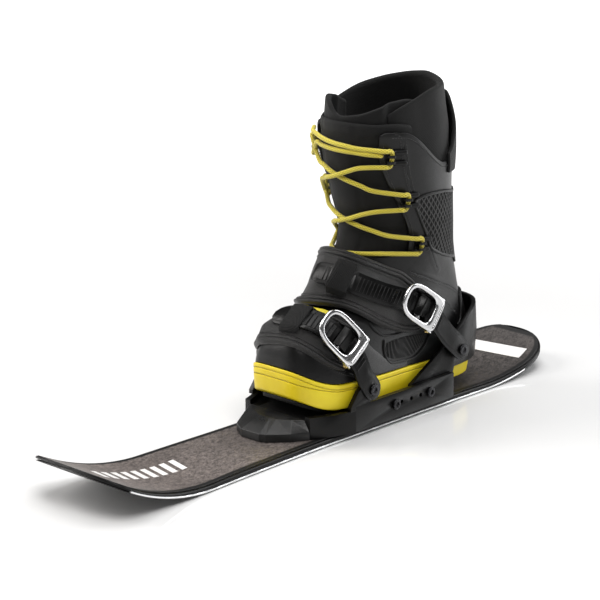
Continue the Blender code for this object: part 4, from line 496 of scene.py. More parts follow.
def close_ends(thing, count, outwards=False):
    """Adds the flat face at the first and the last ring of a wrapped grid whose faces already look
    outwards."""
    return reworked(thing, [corners[::-1] for corners in both_ends(thing, count)], outwards=outwards)


def split_edges(thing, degrees):
    split = thing.modifiers.new("edges", "EDGE_SPLIT")
    split.split_angle = math.radians(degrees)


def tidy(thing):
    """Merges doubles and drops loose points, so that seams and poles are closed."""
    bm = bmesh.new()
    bm.from_mesh(thing.data)
    bmesh.ops.remove_doubles(bm, verts=bm.verts, dist=1e-6)
    bmesh.ops.dissolve_degenerate(bm, edges=bm.edges, dist=1e-7)
    bmesh.ops.delete(bm, geom=[v for v in bm.verts if not v.link_faces], context="VERTS")
    bm.to_mesh(thing.data)
    bm.free()
    return thing


def walled(thing, thick, soft_edge=0.0, steps=2):
    """Gives a surface its wall on the inner side, and rounds the rim."""
    wall = thing.modifiers.new("wall", "SOLIDIFY")
    wall.thickness = thick
    wall.offset = -1.0
    if soft_edge:
        rim = thing.modifiers.new("rim", "BEVEL")
        rim.width = soft_edge
        rim.segments = steps
        rim.angle_limit = math.radians(50)
    return thing


def node_shape(node):
    """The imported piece's mesh with its doubles merged."""
    bm = bmesh.new()
    bm.from_mesh(frame["nodes"][node].data)
    bmesh.ops.remove_doubles(bm, verts=bm.verts, dist=DOUBLES)
    return bm


def dressed(node, material, body="skiboard", edge=0.0004, slot=None, angle=28):
    """The rigid CAD piece with its doubles merged, its flat faces joined, its edges rounded and smooth
    shading; it rides where the piece does and stands for it."""
    bm = node_shape(node)
    bmesh.ops.dissolve_limit(bm, angle_limit=math.radians(1.0), verts=bm.verts, edges=bm.edges)
    mesh = bpy.data.meshes.new(node + "_finished")
    bm.to_mesh(mesh)
    bm.free()
    mesh.shade_smooth()
    thing = piece(node + "_finished", mesh, material)
    if edge:
        rounding = thing.modifiers.new("edges", "BEVEL")
        rounding.width = edge
        rounding.segments = 2
        rounding.angle_limit = math.radians(angle)
        rounding.harden_normals = True
        rounding.use_clamp_overlap = True
    else:
        split_edges(thing, 30)
    return placed(thing, body, slot, node)


def placed(thing, body="skiboard", slot=None, *nodes):
    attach(thing, body)
    if nodes:
        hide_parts(*nodes)
    return thing


def along_path(path, radius, sides):
    """Rings round a path: centre plus radius times the cosine of the turn along the side vector and the sine
    along the out vector, which are carried along the path without twisting."""
    path = np.asarray(path, float)
    ahead = unit(np.gradient(path, axis=0))
    first = np.cross(ahead[0], (0.0, 0.0, 1.0))
    side = np.empty_like(path)
    side[0] = first / np.linalg.norm(first)
    for k in range(1, len(path)):
        moved = side[k - 1] - ahead[k] * (side[k - 1] @ ahead[k])
        side[k] = moved / np.linalg.norm(moved)
    out = np.cross(ahead, side)
    turn = round_turns(sides)
    radius = np.broadcast_to(radius, (len(path), sides))[..., None]
    return path[:, None] + radius * (np.cos(turn)[None, :, None] * side[:, None]
                                     + np.sin(turn)[None, :, None] * out[:, None])


def rod(name, path, radius, material, sides=14):
    """A round piece along a path, closed at both ends by a small dome."""
    path = np.asarray(path, float)
    radius = np.broadcast_to(radius, (len(path),)).astype(float)
    bend = np.linspace(0, math.pi / 2, 5)[:-1]
    start, end = path[0] - path[1], path[-1] - path[-2]
    start, end = start / np.linalg.norm(start), end / np.linalg.norm(end)
    head = path[0] + start * (radius[0] * np.cos(bend)[:, None])
    tail = path[-1] + end * (radius[-1] * np.cos(bend)[::-1, None])
    line = np.concatenate([head, path, tail])
    width = np.concatenate([np.maximum(radius[0] * np.sin(bend), 1e-5), radius,
                            np.maximum(radius[-1] * np.sin(bend)[::-1], 1e-5)])
    rings = along_path(line, width[:, None], sides)
    length = run_along(line)
    uv = np.stack(np.broadcast_arrays(np.linspace(0, 1, sides + 1)[None, :], length[:, None]), -1)
    thing = surface(name, rings[:, ::-1], material, wrap=True, uv=uv)
    return reworked(thing, both_ends(thing, sides))


def smooth_line(points, step):
    """Points a step apart on a smooth curve through the given ones: a cubic between each two, whose slopes
    are half the step between their neighbours."""
    points = np.asarray(points, float)
    padded = np.concatenate([2 * points[:1] - points[1:2], points, 2 * points[-1:] - points[-2:-1]])
    a, b, c, d = (padded[k:len(padded) - 3 + k][:, None] for k in range(4))
    t = np.linspace(0, 1, 24, endpoint=False)[None, :, None]
    fine = (b + (c - a) * t / 2 + (2 * a - 5 * b + 4 * c - d) * t ** 2 / 2
            + (3 * b - 3 * c + d - a) * t ** 3 / 2).reshape(-1, points.shape[1])
    fine = np.concatenate([fine, points[-1:]])
    length = run_along(fine)
    at = np.linspace(0, length[-1], max(2, int(round(length[-1] / step)) + 1))
    return np.stack([np.interp(at, length, fine[:, k]) for k in range(points.shape[1])], -1)


def section_at(height, rows):
    """Outline values at a height: between two rows, the cubic that has their values and slopes."""
    z, values = rows[:, 0], rows[:, 1:]
    slope = np.gradient(values, z, axis=0)
    k = np.clip(np.searchsorted(z, height, side="right") - 1, 0, len(z) - 2)
    step = (z[k + 1] - z[k])[..., None]
    t = ((height - z[k]) / (z[k + 1] - z[k]))[..., None]
    return (values[k] * (2 * t ** 3 - 3 * t ** 2 + 1) + values[k + 1] * (3 * t ** 2 - 2 * t ** 3)
            + step * (slope[k] * (t ** 3 - 2 * t ** 2 + t) + slope[k + 1] * (t ** 3 - t ** 2)))


def boot_world(places):
    """Places along, across and above the sole, with the toe spring added and the sole tilted on its base."""
    x, y, z = np.moveaxis(places, -1, 0)
    z = z + TOE_SPRING * (np.clip(x - SPRING_FROM, 0, None) / (BOOT_LENGTH - SPRING_FROM)) ** 1.8
    along = x + HEEL_AT
    c, s = math.cos(BOOT_TILT), math.sin(BOOT_TILT)
    return np.stack([c * along - s * z, y, SKI_THICK + BALL_HEIGHT + s * along + c * z], -1)


def boot_skin(turn, height):
    """The boot's outline at a height is a rounded oblong: half length times the cosine of the turn, and half
    width times its sine, each to the power of 2 over the squareness. The turn is 0 at the toe."""
    turn, height = np.broadcast_arrays(np.asarray(turn, float), np.asarray(height, float))
    low = (height <= MIDSOLE_THICK)[..., None]
    values = np.where(low, section_at(height, SOLE_ROWS), section_at(height, UPPER_ROWS))
    heel, toe, wide_heel, wide_ball, square = np.moveaxis(values, -1, 0)
    c, s = np.cos(turn), np.sin(turn)
    x = (heel + toe) / 2 + (toe - heel) / 2 * blunt(c, 2 / square)
    half = wide_heel + (wide_ball - wide_heel) * ease((x - heel) / (toe - heel), 0.35, 0.75)
    return np.stack([x, half * blunt(s, 2 / square), height], -1)


def boot_point(turn, height, lift=0.0, level=False):
    """World point at a distance outside the boot's outline, along its normal or level with the sole."""
    turn, height = np.broadcast_arrays(np.asarray(turn, float), np.asarray(height, float))
    around = boot_skin(turn + 0.02, height) - boot_skin(turn - 0.02, height)
    floor = np.where(height <= MIDSOLE_THICK, 0.0, MIDSOLE_THICK + 1e-6)
    roof = np.where(height <= MIDSOLE_THICK, MIDSOLE_THICK, 1.0)
    up = (boot_skin(turn, np.minimum(height + 0.0015, roof))
          - boot_skin(turn, np.maximum(height - 0.0015, floor)))
    if level:
        up = np.broadcast_to(np.array((0.0, 0.0, 1.0)), around.shape)
    normal = np.cross(around, up)
    normal /= np.maximum(np.linalg.norm(normal, axis=-1, keepdims=True), 1e-12)
    return boot_world(boot_skin(turn, height) + np.asarray(lift, float)[..., None] * normal)


def slot_turn(height):
    """Half width of the lacing slot as a turn, narrower towards the top."""
    return SLOT_TURN - SLOT_TAPER * ease(height, THROAT_HEIGHT, 0.250)


def wrapped(turn):
    return np.abs((np.asarray(turn, float) + math.pi) % math.tau - math.pi)


def cuff_top(turn):
    """Height of the shell's top edge: highest beside the tongue, dipped behind the ankle's side."""
    dip = ease(wrapped(turn), math.radians(66), math.radians(112))
    rise = ease(wrapped(turn), math.radians(124), math.radians(160))
    corner = 1 - ease(wrapped(turn), math.radians(36), math.radians(54))
    return 0.270 - 0.0355 * dip + 0.008 * rise - 0.014 * corner ** 1.5


def boot_map(turn, height):
    """Map along the boot, in metres: the turn times a mean radius, and the height."""
    return np.stack(np.broadcast_arrays(np.asarray(turn) * MAP_RADIUS, height), -1)


def to_skin(rows, lift=0.0, step=0.0015):
    """Smooth line on the boot through rows of a turn in degrees and a height in millimetres."""
    rows = np.array(rows, float)
    rows = smooth_line(rows, 0.6)
    line = boot_point(np.radians(rows[:, 0]), rows[:, 1] / 1000, lift)
    return smooth_line(line[::3], step)


def away_from(points, lines):
    """Distance of each grid point from the nearest point of the given lines, in metres."""
    flat = points.reshape(-1, 3).astype(np.float32)
    target = np.concatenate(lines).astype(np.float32)
    best = np.full(len(flat), 1.0, np.float32)
    for part in np.array_split(target, max(1, len(target) // 120)):
        square = ((flat ** 2).sum(1)[:, None] + (part ** 2).sum(1)[None] - 2 * flat @ part.T)
        best = np.minimum(best, square.min(1))
    return np.sqrt(np.maximum(best, 0)).reshape(points.shape[:-1])


def stitching(name, lines, material, gap=0.0029, long=0.0021, thick=0.00034):
    """Rows of stitches: each is a short thread that rises from the surface, bows over and dips back in. It is
    placed at the middle, tangent and normal that the line has there. lines holds (points, normals) pairs."""
    across = round_turns(6)
    share = np.linspace(-1, 1, 7)
    bow = np.stack([share * long / 2, thick * (1.15 - 1.9 * share ** 4)], -1)
    blocks = []
    for points, normals in lines:
        length = run_along(points)
        at = np.arange(gap / 2, length[-1], gap)
        middle, normal, ahead = (np.stack([np.interp(at, length, values[:, k]) for k in range(3)], -1)
                                 for values in (points, normals, np.gradient(points, axis=0)))
        ahead = unit(ahead)
        normal = unit(normal - ahead * (normal * ahead).sum(1, keepdims=True))
        side = np.cross(ahead, normal)
        centre = (middle[:, None] + bow[None, :, :1] * ahead[:, None] + bow[None, :, 1:] * normal[:, None])
        ring = (np.cos(across)[None, None, :, None] * side[:, None, None]
                + np.sin(across)[None, None, :, None] * normal[:, None, None])
        width = thick * np.sqrt(np.maximum(1 - 0.75 * share ** 4, 0.1))
        blocks.append((centre[:, :, None] + ring * width[None, :, None, None]))
    blocks = np.concatenate(blocks)
    count, rows, cols = blocks.shape[:3]
    r, c = np.meshgrid(np.arange(rows - 1), np.arange(cols), indexing="ij")
    quad = np.stack([r * cols + c, (r + 1) * cols + c, (r + 1) * cols + (c + 1) % cols,
                     r * cols + (c + 1) % cols], -1)
    last = (rows - 1) * cols
    caps = [[0, 1, 2, 3], [0, 3, 4, 5], [last + 5, last + 4, last + 3, last + 2],
            [last + 5, last + 2, last + 1, last]]
    quad = np.concatenate([quad.reshape(-1, 4), caps])
    quads = (np.arange(count)[:, None, None] * rows * cols + quad[None]).reshape(-1, 4)
    mesh = bpy.data.meshes.new(name)
    mesh.from_pydata(blocks.reshape(-1, 3).tolist(), [], quads.tolist())
    smooth_shaded(mesh)
    return piece(name, mesh, material)


def with_normals(rows, lift, step=0.0010):
    """The line of to_skin with the boot's normal at each of its points."""
    line, above = to_skin(rows, lift, step), to_skin(rows, lift + 0.003, step)
    count = min(len(line), len(above))
    return line[:count], above[:count] - line[:count]


def mirrored(rows):
    return [(-turn, *rest) for turn, *rest in rows]


# Ski
def ski_half_width(x):
    """Side cut: a parabola from the waist to the tip's or tail's width, ended by a rounded oblong's curve."""
    wide = np.where(x > 0, TIP_WIDTH, TAIL_WIDTH)
    side = (WAIST_WIDTH + (wide - WAIST_WIDTH) * (x / 0.230) ** 2) / 2
    reach = np.where(x > 0, 0.035, 0.065)
    power = np.where(x > 0, 3.1, 2.55)
    past = np.clip((np.abs(x) - HALF_LENGTH + reach) / reach, 0, 1)
    return side * np.maximum(1 - past ** power, 0) ** (1 / power)


def ski_lift(x):
    """Height of the running base: two parabolas that rise past the front and rear contact lines."""
    front = TIP_RISE * (np.clip(x - TIP_FROM, 0, None) / TIP_RUN) ** 2
    rear = TAIL_RISE * (np.clip(-x - TAIL_FROM, 0, None) / TAIL_RUN) ** 2
    return front + rear


def ski_top(x):
    return ski_lift(x) + SKI_THICK + (END_THICK - SKI_THICK) * ease(np.abs(x), 0.12, HALF_LENGTH)


def ski_stations(count=360):
    """Places along the ski, closest together at its two ends, where the outline turns."""
    t = np.linspace(-1, 1, count)
    return HALF_LENGTH * (1 - (1 - np.abs(t)) ** 1.9) * np.sign(t)


def above(level, rise):
    """The height function that lies a distance above another one."""
    return lambda x: level(x) + rise


def ski_layer(name, half_profile, material):
    """Solid carried along the ski: at each station, a closed section. The rows give its left half from the
    bottom up, each an inset from the outline and a function of x for its height; the right half mirrors
    it."""
    x = np.clip(ski_stations(), -HALF_LENGTH + 2e-5, HALF_LENGTH - 2e-5)
    half = ski_half_width(x)
    profile = [(1, *row) for row in half_profile] + [(-1, *row) for row in half_profile[::-1]]
    grid = np.stack([np.stack([x, way * np.maximum(half - inset, 0.0002), level(x)], -1)
                     for way, inset, level in profile], 1)
    thing = surface(name, grid, material, wrap=True)
    return reworked(thing, both_ends(thing, len(profile)), 1e-5, 5e-6)


def topsheet_finish():
    """Printed topsheet: brown-grey with a felted, faintly streaked mottle, near-black along its border."""
    f = Finish("topsheet_print")
    streak = f.noise(260.0, 7.0, 0.72, f.stretched(f.place, (0.6, 1.0, 1.0)))
    grain = f.noise(760.0, 4.0, 0.7, f.stretched(f.place, (0.6, 1.0, 1.0)))
    cloud = f.noise(16.0, 4.0, 0.55)
    # Paler towards the tip and darker towards the tail, over the middle of the ski.
    x = f.parts(f.place)[0]
    pale = f.shade(x, -0.22, 0.27, tint(86, 81, 79), tint(137, 127, 122))
    dark = f.shade(x, -0.22, 0.27, tint(38, 36, 35), tint(64, 59, 57))
    mix = f.weighed(streak, 0.5, grain, 0.5)
    colour = f.shade(mix, 0.40, 0.60, dark, pale)
    colour = f.shade(cloud, 0.35, 0.7, colour, tint(60, 56, 54), 0.35)
    edge = f.attribute("inset")
    rough_edge = f.sum("ADD", edge, f.sum("MULTIPLY", f.sum("SUBTRACT", grain, 0.5), 0.0016))
    colour = f.shade(rough_edge, 0.0046, 0.0066, grey(18), colour)
    normal = f.relief(grain, 0.00006)
    return f.done(colour, f.between(mix, 0.35, 0.65, 0.40, 0.52), normal, Coat_Weight=0.25,
                  Coat_Roughness=0.25)


def build_ski():
    """Running base, core with its side wall, topsheet and the two steel edges."""
    near_black = moulded("side_wall_black", grey(10), grey(18), 0.34, 0.00003)
    foot, base_top = above(ski_lift, EDGE_FOOT), above(ski_lift, BASE_THICK)
    base = ski_layer("running_base", (
        (0.0004, ski_lift), (0.0001, above(ski_lift, 0.0004)), (0.0001, foot), (0.0025, foot),
        (0.0025, base_top)), base_finish())
    placed(base, "skiboard", "ski_base", "ski_base")
    under, over = above(base_top, 0.0003), above(above(ski_top, -TOPSHEET_THICK), -0.0001)
    shoulder = above(over, -0.0011)
    core = ski_layer("core_and_side_wall", (
        (0.0001, under), (0.0, above(under, 0.0004)), (0.0001, above(shoulder, -0.0006)), (0.0004, shoulder),
        (0.0011, above(over, -0.0003)), (0.0019, over)), near_black)
    placed(core, "skiboard", "ski_core", "ski_core")
    build_topsheet()
    steel = chromed("edge_steel", (0.92, 0.93, 0.94), 0.38)
    for way, name in ((1, "ski_edge_left"), (-1, "ski_edge_right")):
        x = ski_stations(420)
        x = x[(x > -0.270) & (x < 0.305)]
        half = ski_half_width(x)
        low, high = ski_lift(x) + EDGE_FOOT, ski_lift(x) + BASE_THICK + 0.0006
        rows = ((half - 0.0022, low), (half, low), (half + 0.0002, low + 0.0002),
                (half + 0.0002, high - 0.0002), (half, high), (half - 0.0012, high))
        grid = np.stack([np.stack([x, way * wide, level], -1) for wide, level in rows], 1)
        strip = surface(name + "_bright", grid, steel, wrap=True)
        reworked(strip, both_ends(strip, len(rows))).data.shade_flat()
        placed(strip, "skiboard", "ski_edge_left", name)


def base_finish():
    """Sintered base: near-black with ground lines along the ski and a waxy gloss."""
    f = Finish("running_base_black")
    lines = f.noise(500.0, 4.0, 0.6, f.stretched(f.place, (0.03, 1.0, 1.0)))
    cloud = f.noise(20.0, 3.0)
    colour = f.shade(lines, 0.35, 0.65, grey(18), grey(32))
    colour = f.shade(cloud, 0.4, 0.7, colour, grey(40), 0.4)
    return f.done(colour, f.between(lines, 0.3, 0.7, 0.28, 0.42), f.relief(lines, 0.00005))


def build_topsheet():
    """Topsheet: a fine grid over the ski's plan, level across, turned down and closed at its rim."""
    x = np.clip(ski_stations(380), -HALF_LENGTH + TOPSHEET_BORDER, HALF_LENGTH - TOPSHEET_BORDER)
    half = np.maximum(ski_half_width(x) - TOPSHEET_BORDER, 0.0003)
    way = np.linspace(-1, 1, 61)
    way = np.sign(way) * (1 - (1 - np.abs(way)) ** 1.6)
    y = half[:, None] * way
    reach = half[:, None] - np.abs(y)
    end = np.minimum(HALF_LENGTH - TOPSHEET_BORDER - np.abs(x), 0.05)[:, None]
    rim = np.minimum(reach, end * 0.9 + 0.0002)
    z = ski_top(x)[:, None] - 0.0003 * (1 - np.minimum(rim / 0.0006, 1)) ** 2
    grid = np.stack(np.broadcast_arrays(x[:, None], y, z), -1)
    top = surface("topsheet", grid[:, ::-1], topsheet_finish(), values={"inset": rim[:, ::-1]})
    tidy(top)
    walled(top, TOPSHEET_THICK * 0.9)
    placed(top, "skiboard", "ski_topsheet", "ski_topsheet")


def on_topsheet(x, y, over):
    return np.stack([x, y, ski_top(x) + over], -1)


def build_plain_marks():
    """Bare white label at the tail and a row of plain slanted bars at the tip, as thin printed films."""
    f = Finish("white_film")
    speck = f.noise(1600.0, 3.0)
    rub = f.noise(60.0, 5.0, 0.65)
    colour = f.shade(speck, 0.4, 0.75, tint(236, 235, 233), tint(214, 212, 209))
    colour = f.shade(rub, 0.62, 0.8, colour, tint(176, 172, 168), 0.5)
    white = f.done(colour, f.between(speck, 0.3, 0.7, 0.32, 0.42), f.relief(speck, 0.00003))
    t, s = np.meshgrid(np.linspace(0, 1, 40), np.linspace(0, 1, 14))

    def film(name, corners):
        a, b, c, d = (np.array(p, float) / 1000 for p in corners)
        flat = ((1 - s)[..., None] * ((1 - t)[..., None] * a + t[..., None] * b)
                + s[..., None] * ((1 - t)[..., None] * d + t[..., None] * c))
        mark = surface(name, on_topsheet(flat[..., 0], flat[..., 1], 0.00016), white)
        if mark.data.polygons[0].normal.z < 0:
            mark.data.flip_normals()
        walled(mark, 0.00012)
        placed(mark, "skiboard", "ski_topsheet")

    film("tail_label", ((-289.2, -31.7), (-296.2, 35.8), (-278.4, 39.1), (-271.5, -28.5)))
    for k in range(9):
        x = 178 + 12.4 * k
        film("tip_bar_%d" % (k + 1), ((x - 3.4, -18.5), (x + 3.4, -18.5), (x + 9.4, 7.5), (x + 2.6, 7.5)))


# Boot
# Carved lines of the near side, as turns in degrees and heights in millimetres
SHELL_SEAMS = [
    [(60, 268.5), (65.8, 262), (70.2, 221.5), (75.5, 199)],
    [(96.5, 144.5), (104, 128), (108, 120)],
    [(82, 124), (90, 119), (107.3, 108), (130, 95), (154, 80)],
    [(104, 96), (113.8, 87.8), (129.8, 69.2)],
    [(30, 53), (47.5, 47.2), (62, 40), (74, 33)],
    [(180, 60), (180, 232)],
]


def warp(share, edge_share, edge):
    """Turn of a column: even steps up to the slot's edge, and other even steps from there to the heel."""
    size = np.abs(share)
    inner = size / edge_share * edge
    outer = edge + (size - edge_share) / (1 - edge_share) * (math.pi - edge)
    return np.where(size < edge_share, inner, outer) * np.sign(share)


def shell_grid(columns=236, slot_cells=40, low_rows=92, high_rows=96):
    share = np.linspace(-1, 1, columns, endpoint=False)
    edge_share = 2 * slot_cells / columns
    base = math.pi * edge_share
    low = np.linspace(MIDSOLE_THICK + 0.0006, THROAT_HEIGHT, low_rows)
    edge = base + (slot_turn(THROAT_HEIGHT) - base) * ease(low, 0.10, THROAT_HEIGHT)
    turns = [warp(share[None], edge_share, edge[:, None])]
    heights = [np.broadcast_to(low[:, None], (low_rows, columns))]
    rise = np.linspace(0, 1, high_rows)[1:, None]
    turn = np.broadcast_to(warp(share, edge_share, slot_turn(THROAT_HEIGHT)), (high_rows - 1, columns))
    for _ in range(4):
        height = THROAT_HEIGHT + (cuff_top(turn) - THROAT_HEIGHT) * rise
        turn = warp(np.broadcast_to(share, height.shape), edge_share, slot_turn(height))
    turns.append(turn)
    heights.append(height)
    turn, height = np.concatenate(turns), np.concatenate(heights)
    centre = columns // 2
    keep = np.ones((len(turn) - 1, columns), bool)
    keep[low_rows - 1:, centre - slot_cells:centre + slot_cells] = False
    return turn, height, keep


def build_shell():
    """Outer boot: the boot's skin with carved seams, and a rolled cuff and throat edge."""
    turn, height, keep = shell_grid()
    lines = [to_skin(rows) for rows in SHELL_SEAMS] + [to_skin(mirrored(rows)) for rows in SHELL_SEAMS]
    points = boot_point(turn, height)
    seam = away_from(points, lines)
    throat = np.abs(wrapped(turn)) - slot_turn(height)
    from_top = cuff_top(turn) - height
    to_edge = np.minimum(from_top, np.abs(throat) * MAP_RADIUS)
    roll = np.where(height > THROAT_HEIGHT, 1 - ease(to_edge, 0.0, 0.004), 0.0)
    groove = 1 - ease(seam, 0.0, 0.0016)
    lift = -0.0005 * groove + 0.0004 * (1 - ease(seam, 0.0016, 0.0050)) - 0.0006 * roll
    grid = boot_point(turn, height, lift)
    coated = leather_like("shell_coated", grey(15), grey(25), 0.36)
    uv = boot_map(np.concatenate([turn, turn[:, :1] + math.tau], 1),
                  np.concatenate([height, height[:, :1]], 1))
    shell = surface("shell", grid, coated, wrap=True, keep=keep, uv=uv, values={"seam": seam})
    tidy(shell)
    walled(shell, SHELL_WALL - 0.0006, 0.0009, 3)
    return placed(shell, "skiboard", "boot_shell", "boot_shell")


def skin_panel(name, turns, low, high, material, thick, lift, rows=40, swell=0.0, values=None, edge=0.0005):
    """Piece on the boot between two heights given for each turn. Its lift is highest in the middle, by the
    swell times one less the fourth power of the way to its edge."""
    turns, low, high = (np.asarray(v, float) for v in (turns, low, high))
    share = np.linspace(0, 1, rows)[:, None]
    height = low[None] + (high - low)[None] * share
    turn = np.broadcast_to(turns[None], height.shape)
    across = np.linspace(-1, 1, len(turns))[None]
    crown = (1 - np.abs(2 * share - 1) ** 4) * (1 - np.abs(across) ** 6)
    level = np.asarray(lift + swell * crown + (0 if values is None else values(turn, height)))
    grid = boot_point(turn, height, level + thick)
    if turns[-1] < turns[0]:
        grid, turn, height = grid[:, ::-1], turn[:, ::-1], height[:, ::-1]
    thing = surface(name, grid, material, uv=boot_map(turn, height))
    return walled(thing, thick, edge)


def shaped(rows, count, smooth=9):
    """Columns of a panel: turns evenly spaced, and both edges interpolated and softened by a running mean."""
    rows = np.array(rows, float)
    order = np.argsort(rows[:, 0])
    turns = np.linspace(rows[0, 0], rows[-1, 0], count)
    edges = []
    for k in (1, 2):
        edge = np.interp(turns, rows[order, 0], rows[order, k])
        wide = np.pad(edge, smooth // 2, mode="edge")
        edges.append(np.convolve(wide, np.ones(smooth) / smooth, "valid"))
    return np.radians(turns), edges[0] / 1000, edges[1] / 1000


# Calf panel's outline on the near side: a turn in degrees, and its lower and upper edge in millimetres
CALF_PANEL = [(76, 193, 200), (80, 181, 202), (84, 170, 203.5), (90, 157, 204.5), (96.5, 145.5, 205),
              (110, 137, 204.5), (125, 131, 201.5), (139, 127, 198), (150, 124.5, 194)]


def honeycomb(turn, height):
    """Share that is 1 on the walls of a honeycomb and 0 in its cells, which are taller than wide. Cell
    centres lie on two shifted rows; a wall runs where both rows' nearest centres are about equally far."""
    wide, tall = 0.0046, 0.0086
    u, v = np.asarray(turn) * CALF_RADIUS / wide, np.asarray(height) / tall
    far = []
    for shift in (0.0, 0.5):
        du = u - shift - np.round(u - shift)
        dv = v - shift - np.round(v - shift)
        far.append(np.maximum(np.abs(du), np.abs(du) * 0.5 + np.abs(dv) * 0.75) * 2)
    return 1 - ease(np.abs(far[0] - far[1]), 0.14, 0.36)


def build_calf_mesh():
    """Calf panel on each side: a rubbery honeycomb lattice over a dark net, inside a raised rim."""
    f = Finish("calf_lattice")
    cell = f.attribute("cell")
    fine = f.noise(1500.0, 3.0)
    blotch = f.noise(40.0, 4.0)
    wall = f.shade(blotch, 0.35, 0.65, grey(44), grey(58))
    wall = f.shade(fine, 0.5, 0.75, wall, grey(72), 0.4)
    net = f.shade(f.noise(2400.0, 2.0), 0.4, 0.6, grey(3), grey(12))
    colour = f.shade(cell, 0.35, 0.6, net, wall)
    material = f.done(colour, f.between(cell, 0.35, 0.6, 0.85, 0.40), f.relief(fine, 0.00008))
    rim_finish = leather_like("calf_rim", grey(24), grey(34), 0.42, seams=False)
    for side, end in ((1, "near"), (-1, "far")):
        rows = [(t * side, low, high) for t, low, high in CALF_PANEL]
        turns, low, high = shaped(rows, 272, 13)
        share = np.linspace(0, 1, 172)[:, None]
        height = low[None] + (high - low)[None] * share
        turn = np.broadcast_to(turns[None], height.shape)
        cell = honeycomb(turn * side, height)
        wide = np.minimum((high - low)[None] * np.minimum(share, 1 - share),
                          np.abs(np.stack([turn - turns[0], turn - turns[-1]])).min(0) * CALF_RADIUS)
        frame_in = 1 - ease(wide, 0.0008, 0.0022)
        cell = np.maximum(cell, frame_in)
        lift = 0.0004 + 0.0012 * cell
        grid = boot_point(turn, height, lift)
        if side < 0:
            grid, turn, height, cell = grid[:, ::-1], turn[:, ::-1], height[:, ::-1], cell[:, ::-1]
        panel = surface("calf_lattice_" + end, grid, material, uv=boot_map(turn, height),
                        values={"cell": cell})
        walled(panel, 0.0012)
        placed(panel, "skiboard", "mesh", "calf_mesh_" + end)
        edge = [(t, lo) for t, lo, _ in rows] + [(t, hi) for t, _, hi in rows[::-1]]
        edge.append(edge[0])
        line = to_skin(edge, 0.0007, 0.0012)
        rim = rod("calf_rim_" + end, line, 0.00125, rim_finish, 12)
        placed(rim, "skiboard", "boot_shell")


def build_side_pieces():
    """Pale band down each side of the foot, its raised welt, the ribbed insert behind it and the heel's
    cup."""
    pale = leather_like("side_band_grey", grey(50), grey(66), 0.38, seams=False)
    ribbed = woven("ribbed_insert", grey(8), grey(22), 0.7, 700.0, 0.1)
    dark = leather_like("heel_cup_dark", grey(17), grey(26), 0.42, seams=False)
    piping = leather_like("side_piping", grey(17), grey(28), 0.38, seams=False)
    for side, end in ((1, "near"), (-1, "far")):
        rows = [(t * side, lo, hi) for t, lo, hi in
                ((66, 57, 71.5), (70, 51, 68.5), (75, 43, 62.5), (80, 35, 55), (84, 30, 49), (87, 27.6, 42),
                 (90.5, 27.2, 34))]
        turns, low, high = shaped(rows, 60, 7)
        band = skin_panel("side_band_" + end, turns, low, high, pale, 0.0007, 0.0002, 30, 0.0005)
        placed(band, "skiboard", "trim", "quarter_band_" + end)
        rows = [(t * side, lo, hi) for t, lo, hi in
                ((86.5, 50, 57), (88.5, 41, 58), (90.5, 37, 58.5), (92.5, 39, 58), (95, 45, 57),
                 (97.5, 51, 56))]
        turns, low, high = shaped(rows, 90, 7)
        insert = skin_panel("ribbed_insert_" + end, turns, low, high, ribbed, 0.0006, 0.0001, 60, 0.0003,
                            lambda t, h: 0.0005 * np.cos((t * side * 1.15 + h * 1.9) * 2100 / 6.0))
        placed(insert, "skiboard", "boot_shell")
        edge = [(t * side, h) for t, h in ((84.8, 60), (86, 50), (88.3, 38), (90.5, 33.5), (93, 36),
                                           (97, 45), (101, 55), (106, 62))]
        welt = rod("side_welt_" + end, to_skin(edge, 0.0004, 0.0015), 0.0013, piping, 12)
        placed(welt, "skiboard", "boot_shell")
        sweep = [(t * side, h) for t, h in ((70, 79), (77, 72), (83, 66), (89, 63.5), (95, 64.5), (102, 68))]
        fold = rod("side_fold_" + end, to_skin(sweep, 0.0002, 0.0015), 0.0013, piping, 12)
        placed(fold, "skiboard", "boot_shell")
    turns = np.radians(np.linspace(128, 232, 150))
    away = np.abs(np.degrees(turns) - 180)
    high = 0.0865 - 0.030 * ease(away, 30, 52)
    low = np.full_like(turns, 0.0268)
    cup = skin_panel("heel_cup", turns, low, high, dark, 0.0012, 0.0001, 60, 0.0009, edge=0.0007)
    placed(cup, "skiboard", "boot_shell")
    rim = rod("heel_cup_rim", smooth_line(boot_point(turns[::3], high[::3], 0.0013), 0.0015), 0.0015,
              piping, 12)
    placed(rim, "skiboard", "boot_shell")


def build_boot_thread():
    """Tone-on-tone stitches beside the seams, the throat, the cuff and the calf panels."""
    f = Finish("grey_thread")
    twist = f.noise(2800.0, 3.0)
    fade = f.noise(70.0, 3.0)
    thread = f.done(f.shade(twist, 0.35, 0.65, grey(34), grey(70)),
                    f.between(fade, 0.3, 0.7, 0.55, 0.75), f.relief(twist, 0.00008))
    throat = [(math.degrees(slot_turn(h / 1000)) + 3.4, h) for h in np.linspace(150, 257, 14)]
    cuff = [(t, 1000 * float(cuff_top(math.radians(t))) - 5.0) for t in np.linspace(56, 176, 30)]
    beside = [[(t + away, h) for t, h in SHELL_SEAMS[0][1:]] for away in (-2.4, 2.4)]
    under = [[(t, h - 2.6) for t, h in SHELL_SEAMS[k]] for k in (2, 3, 4)]
    lines = [with_normals(line, 0.0001) for rows in (throat, cuff, *beside, *under)
             for line in (rows, mirrored(rows))]
    placed(stitching("boot_thread", lines, thread), "skiboard", "boot_shell")


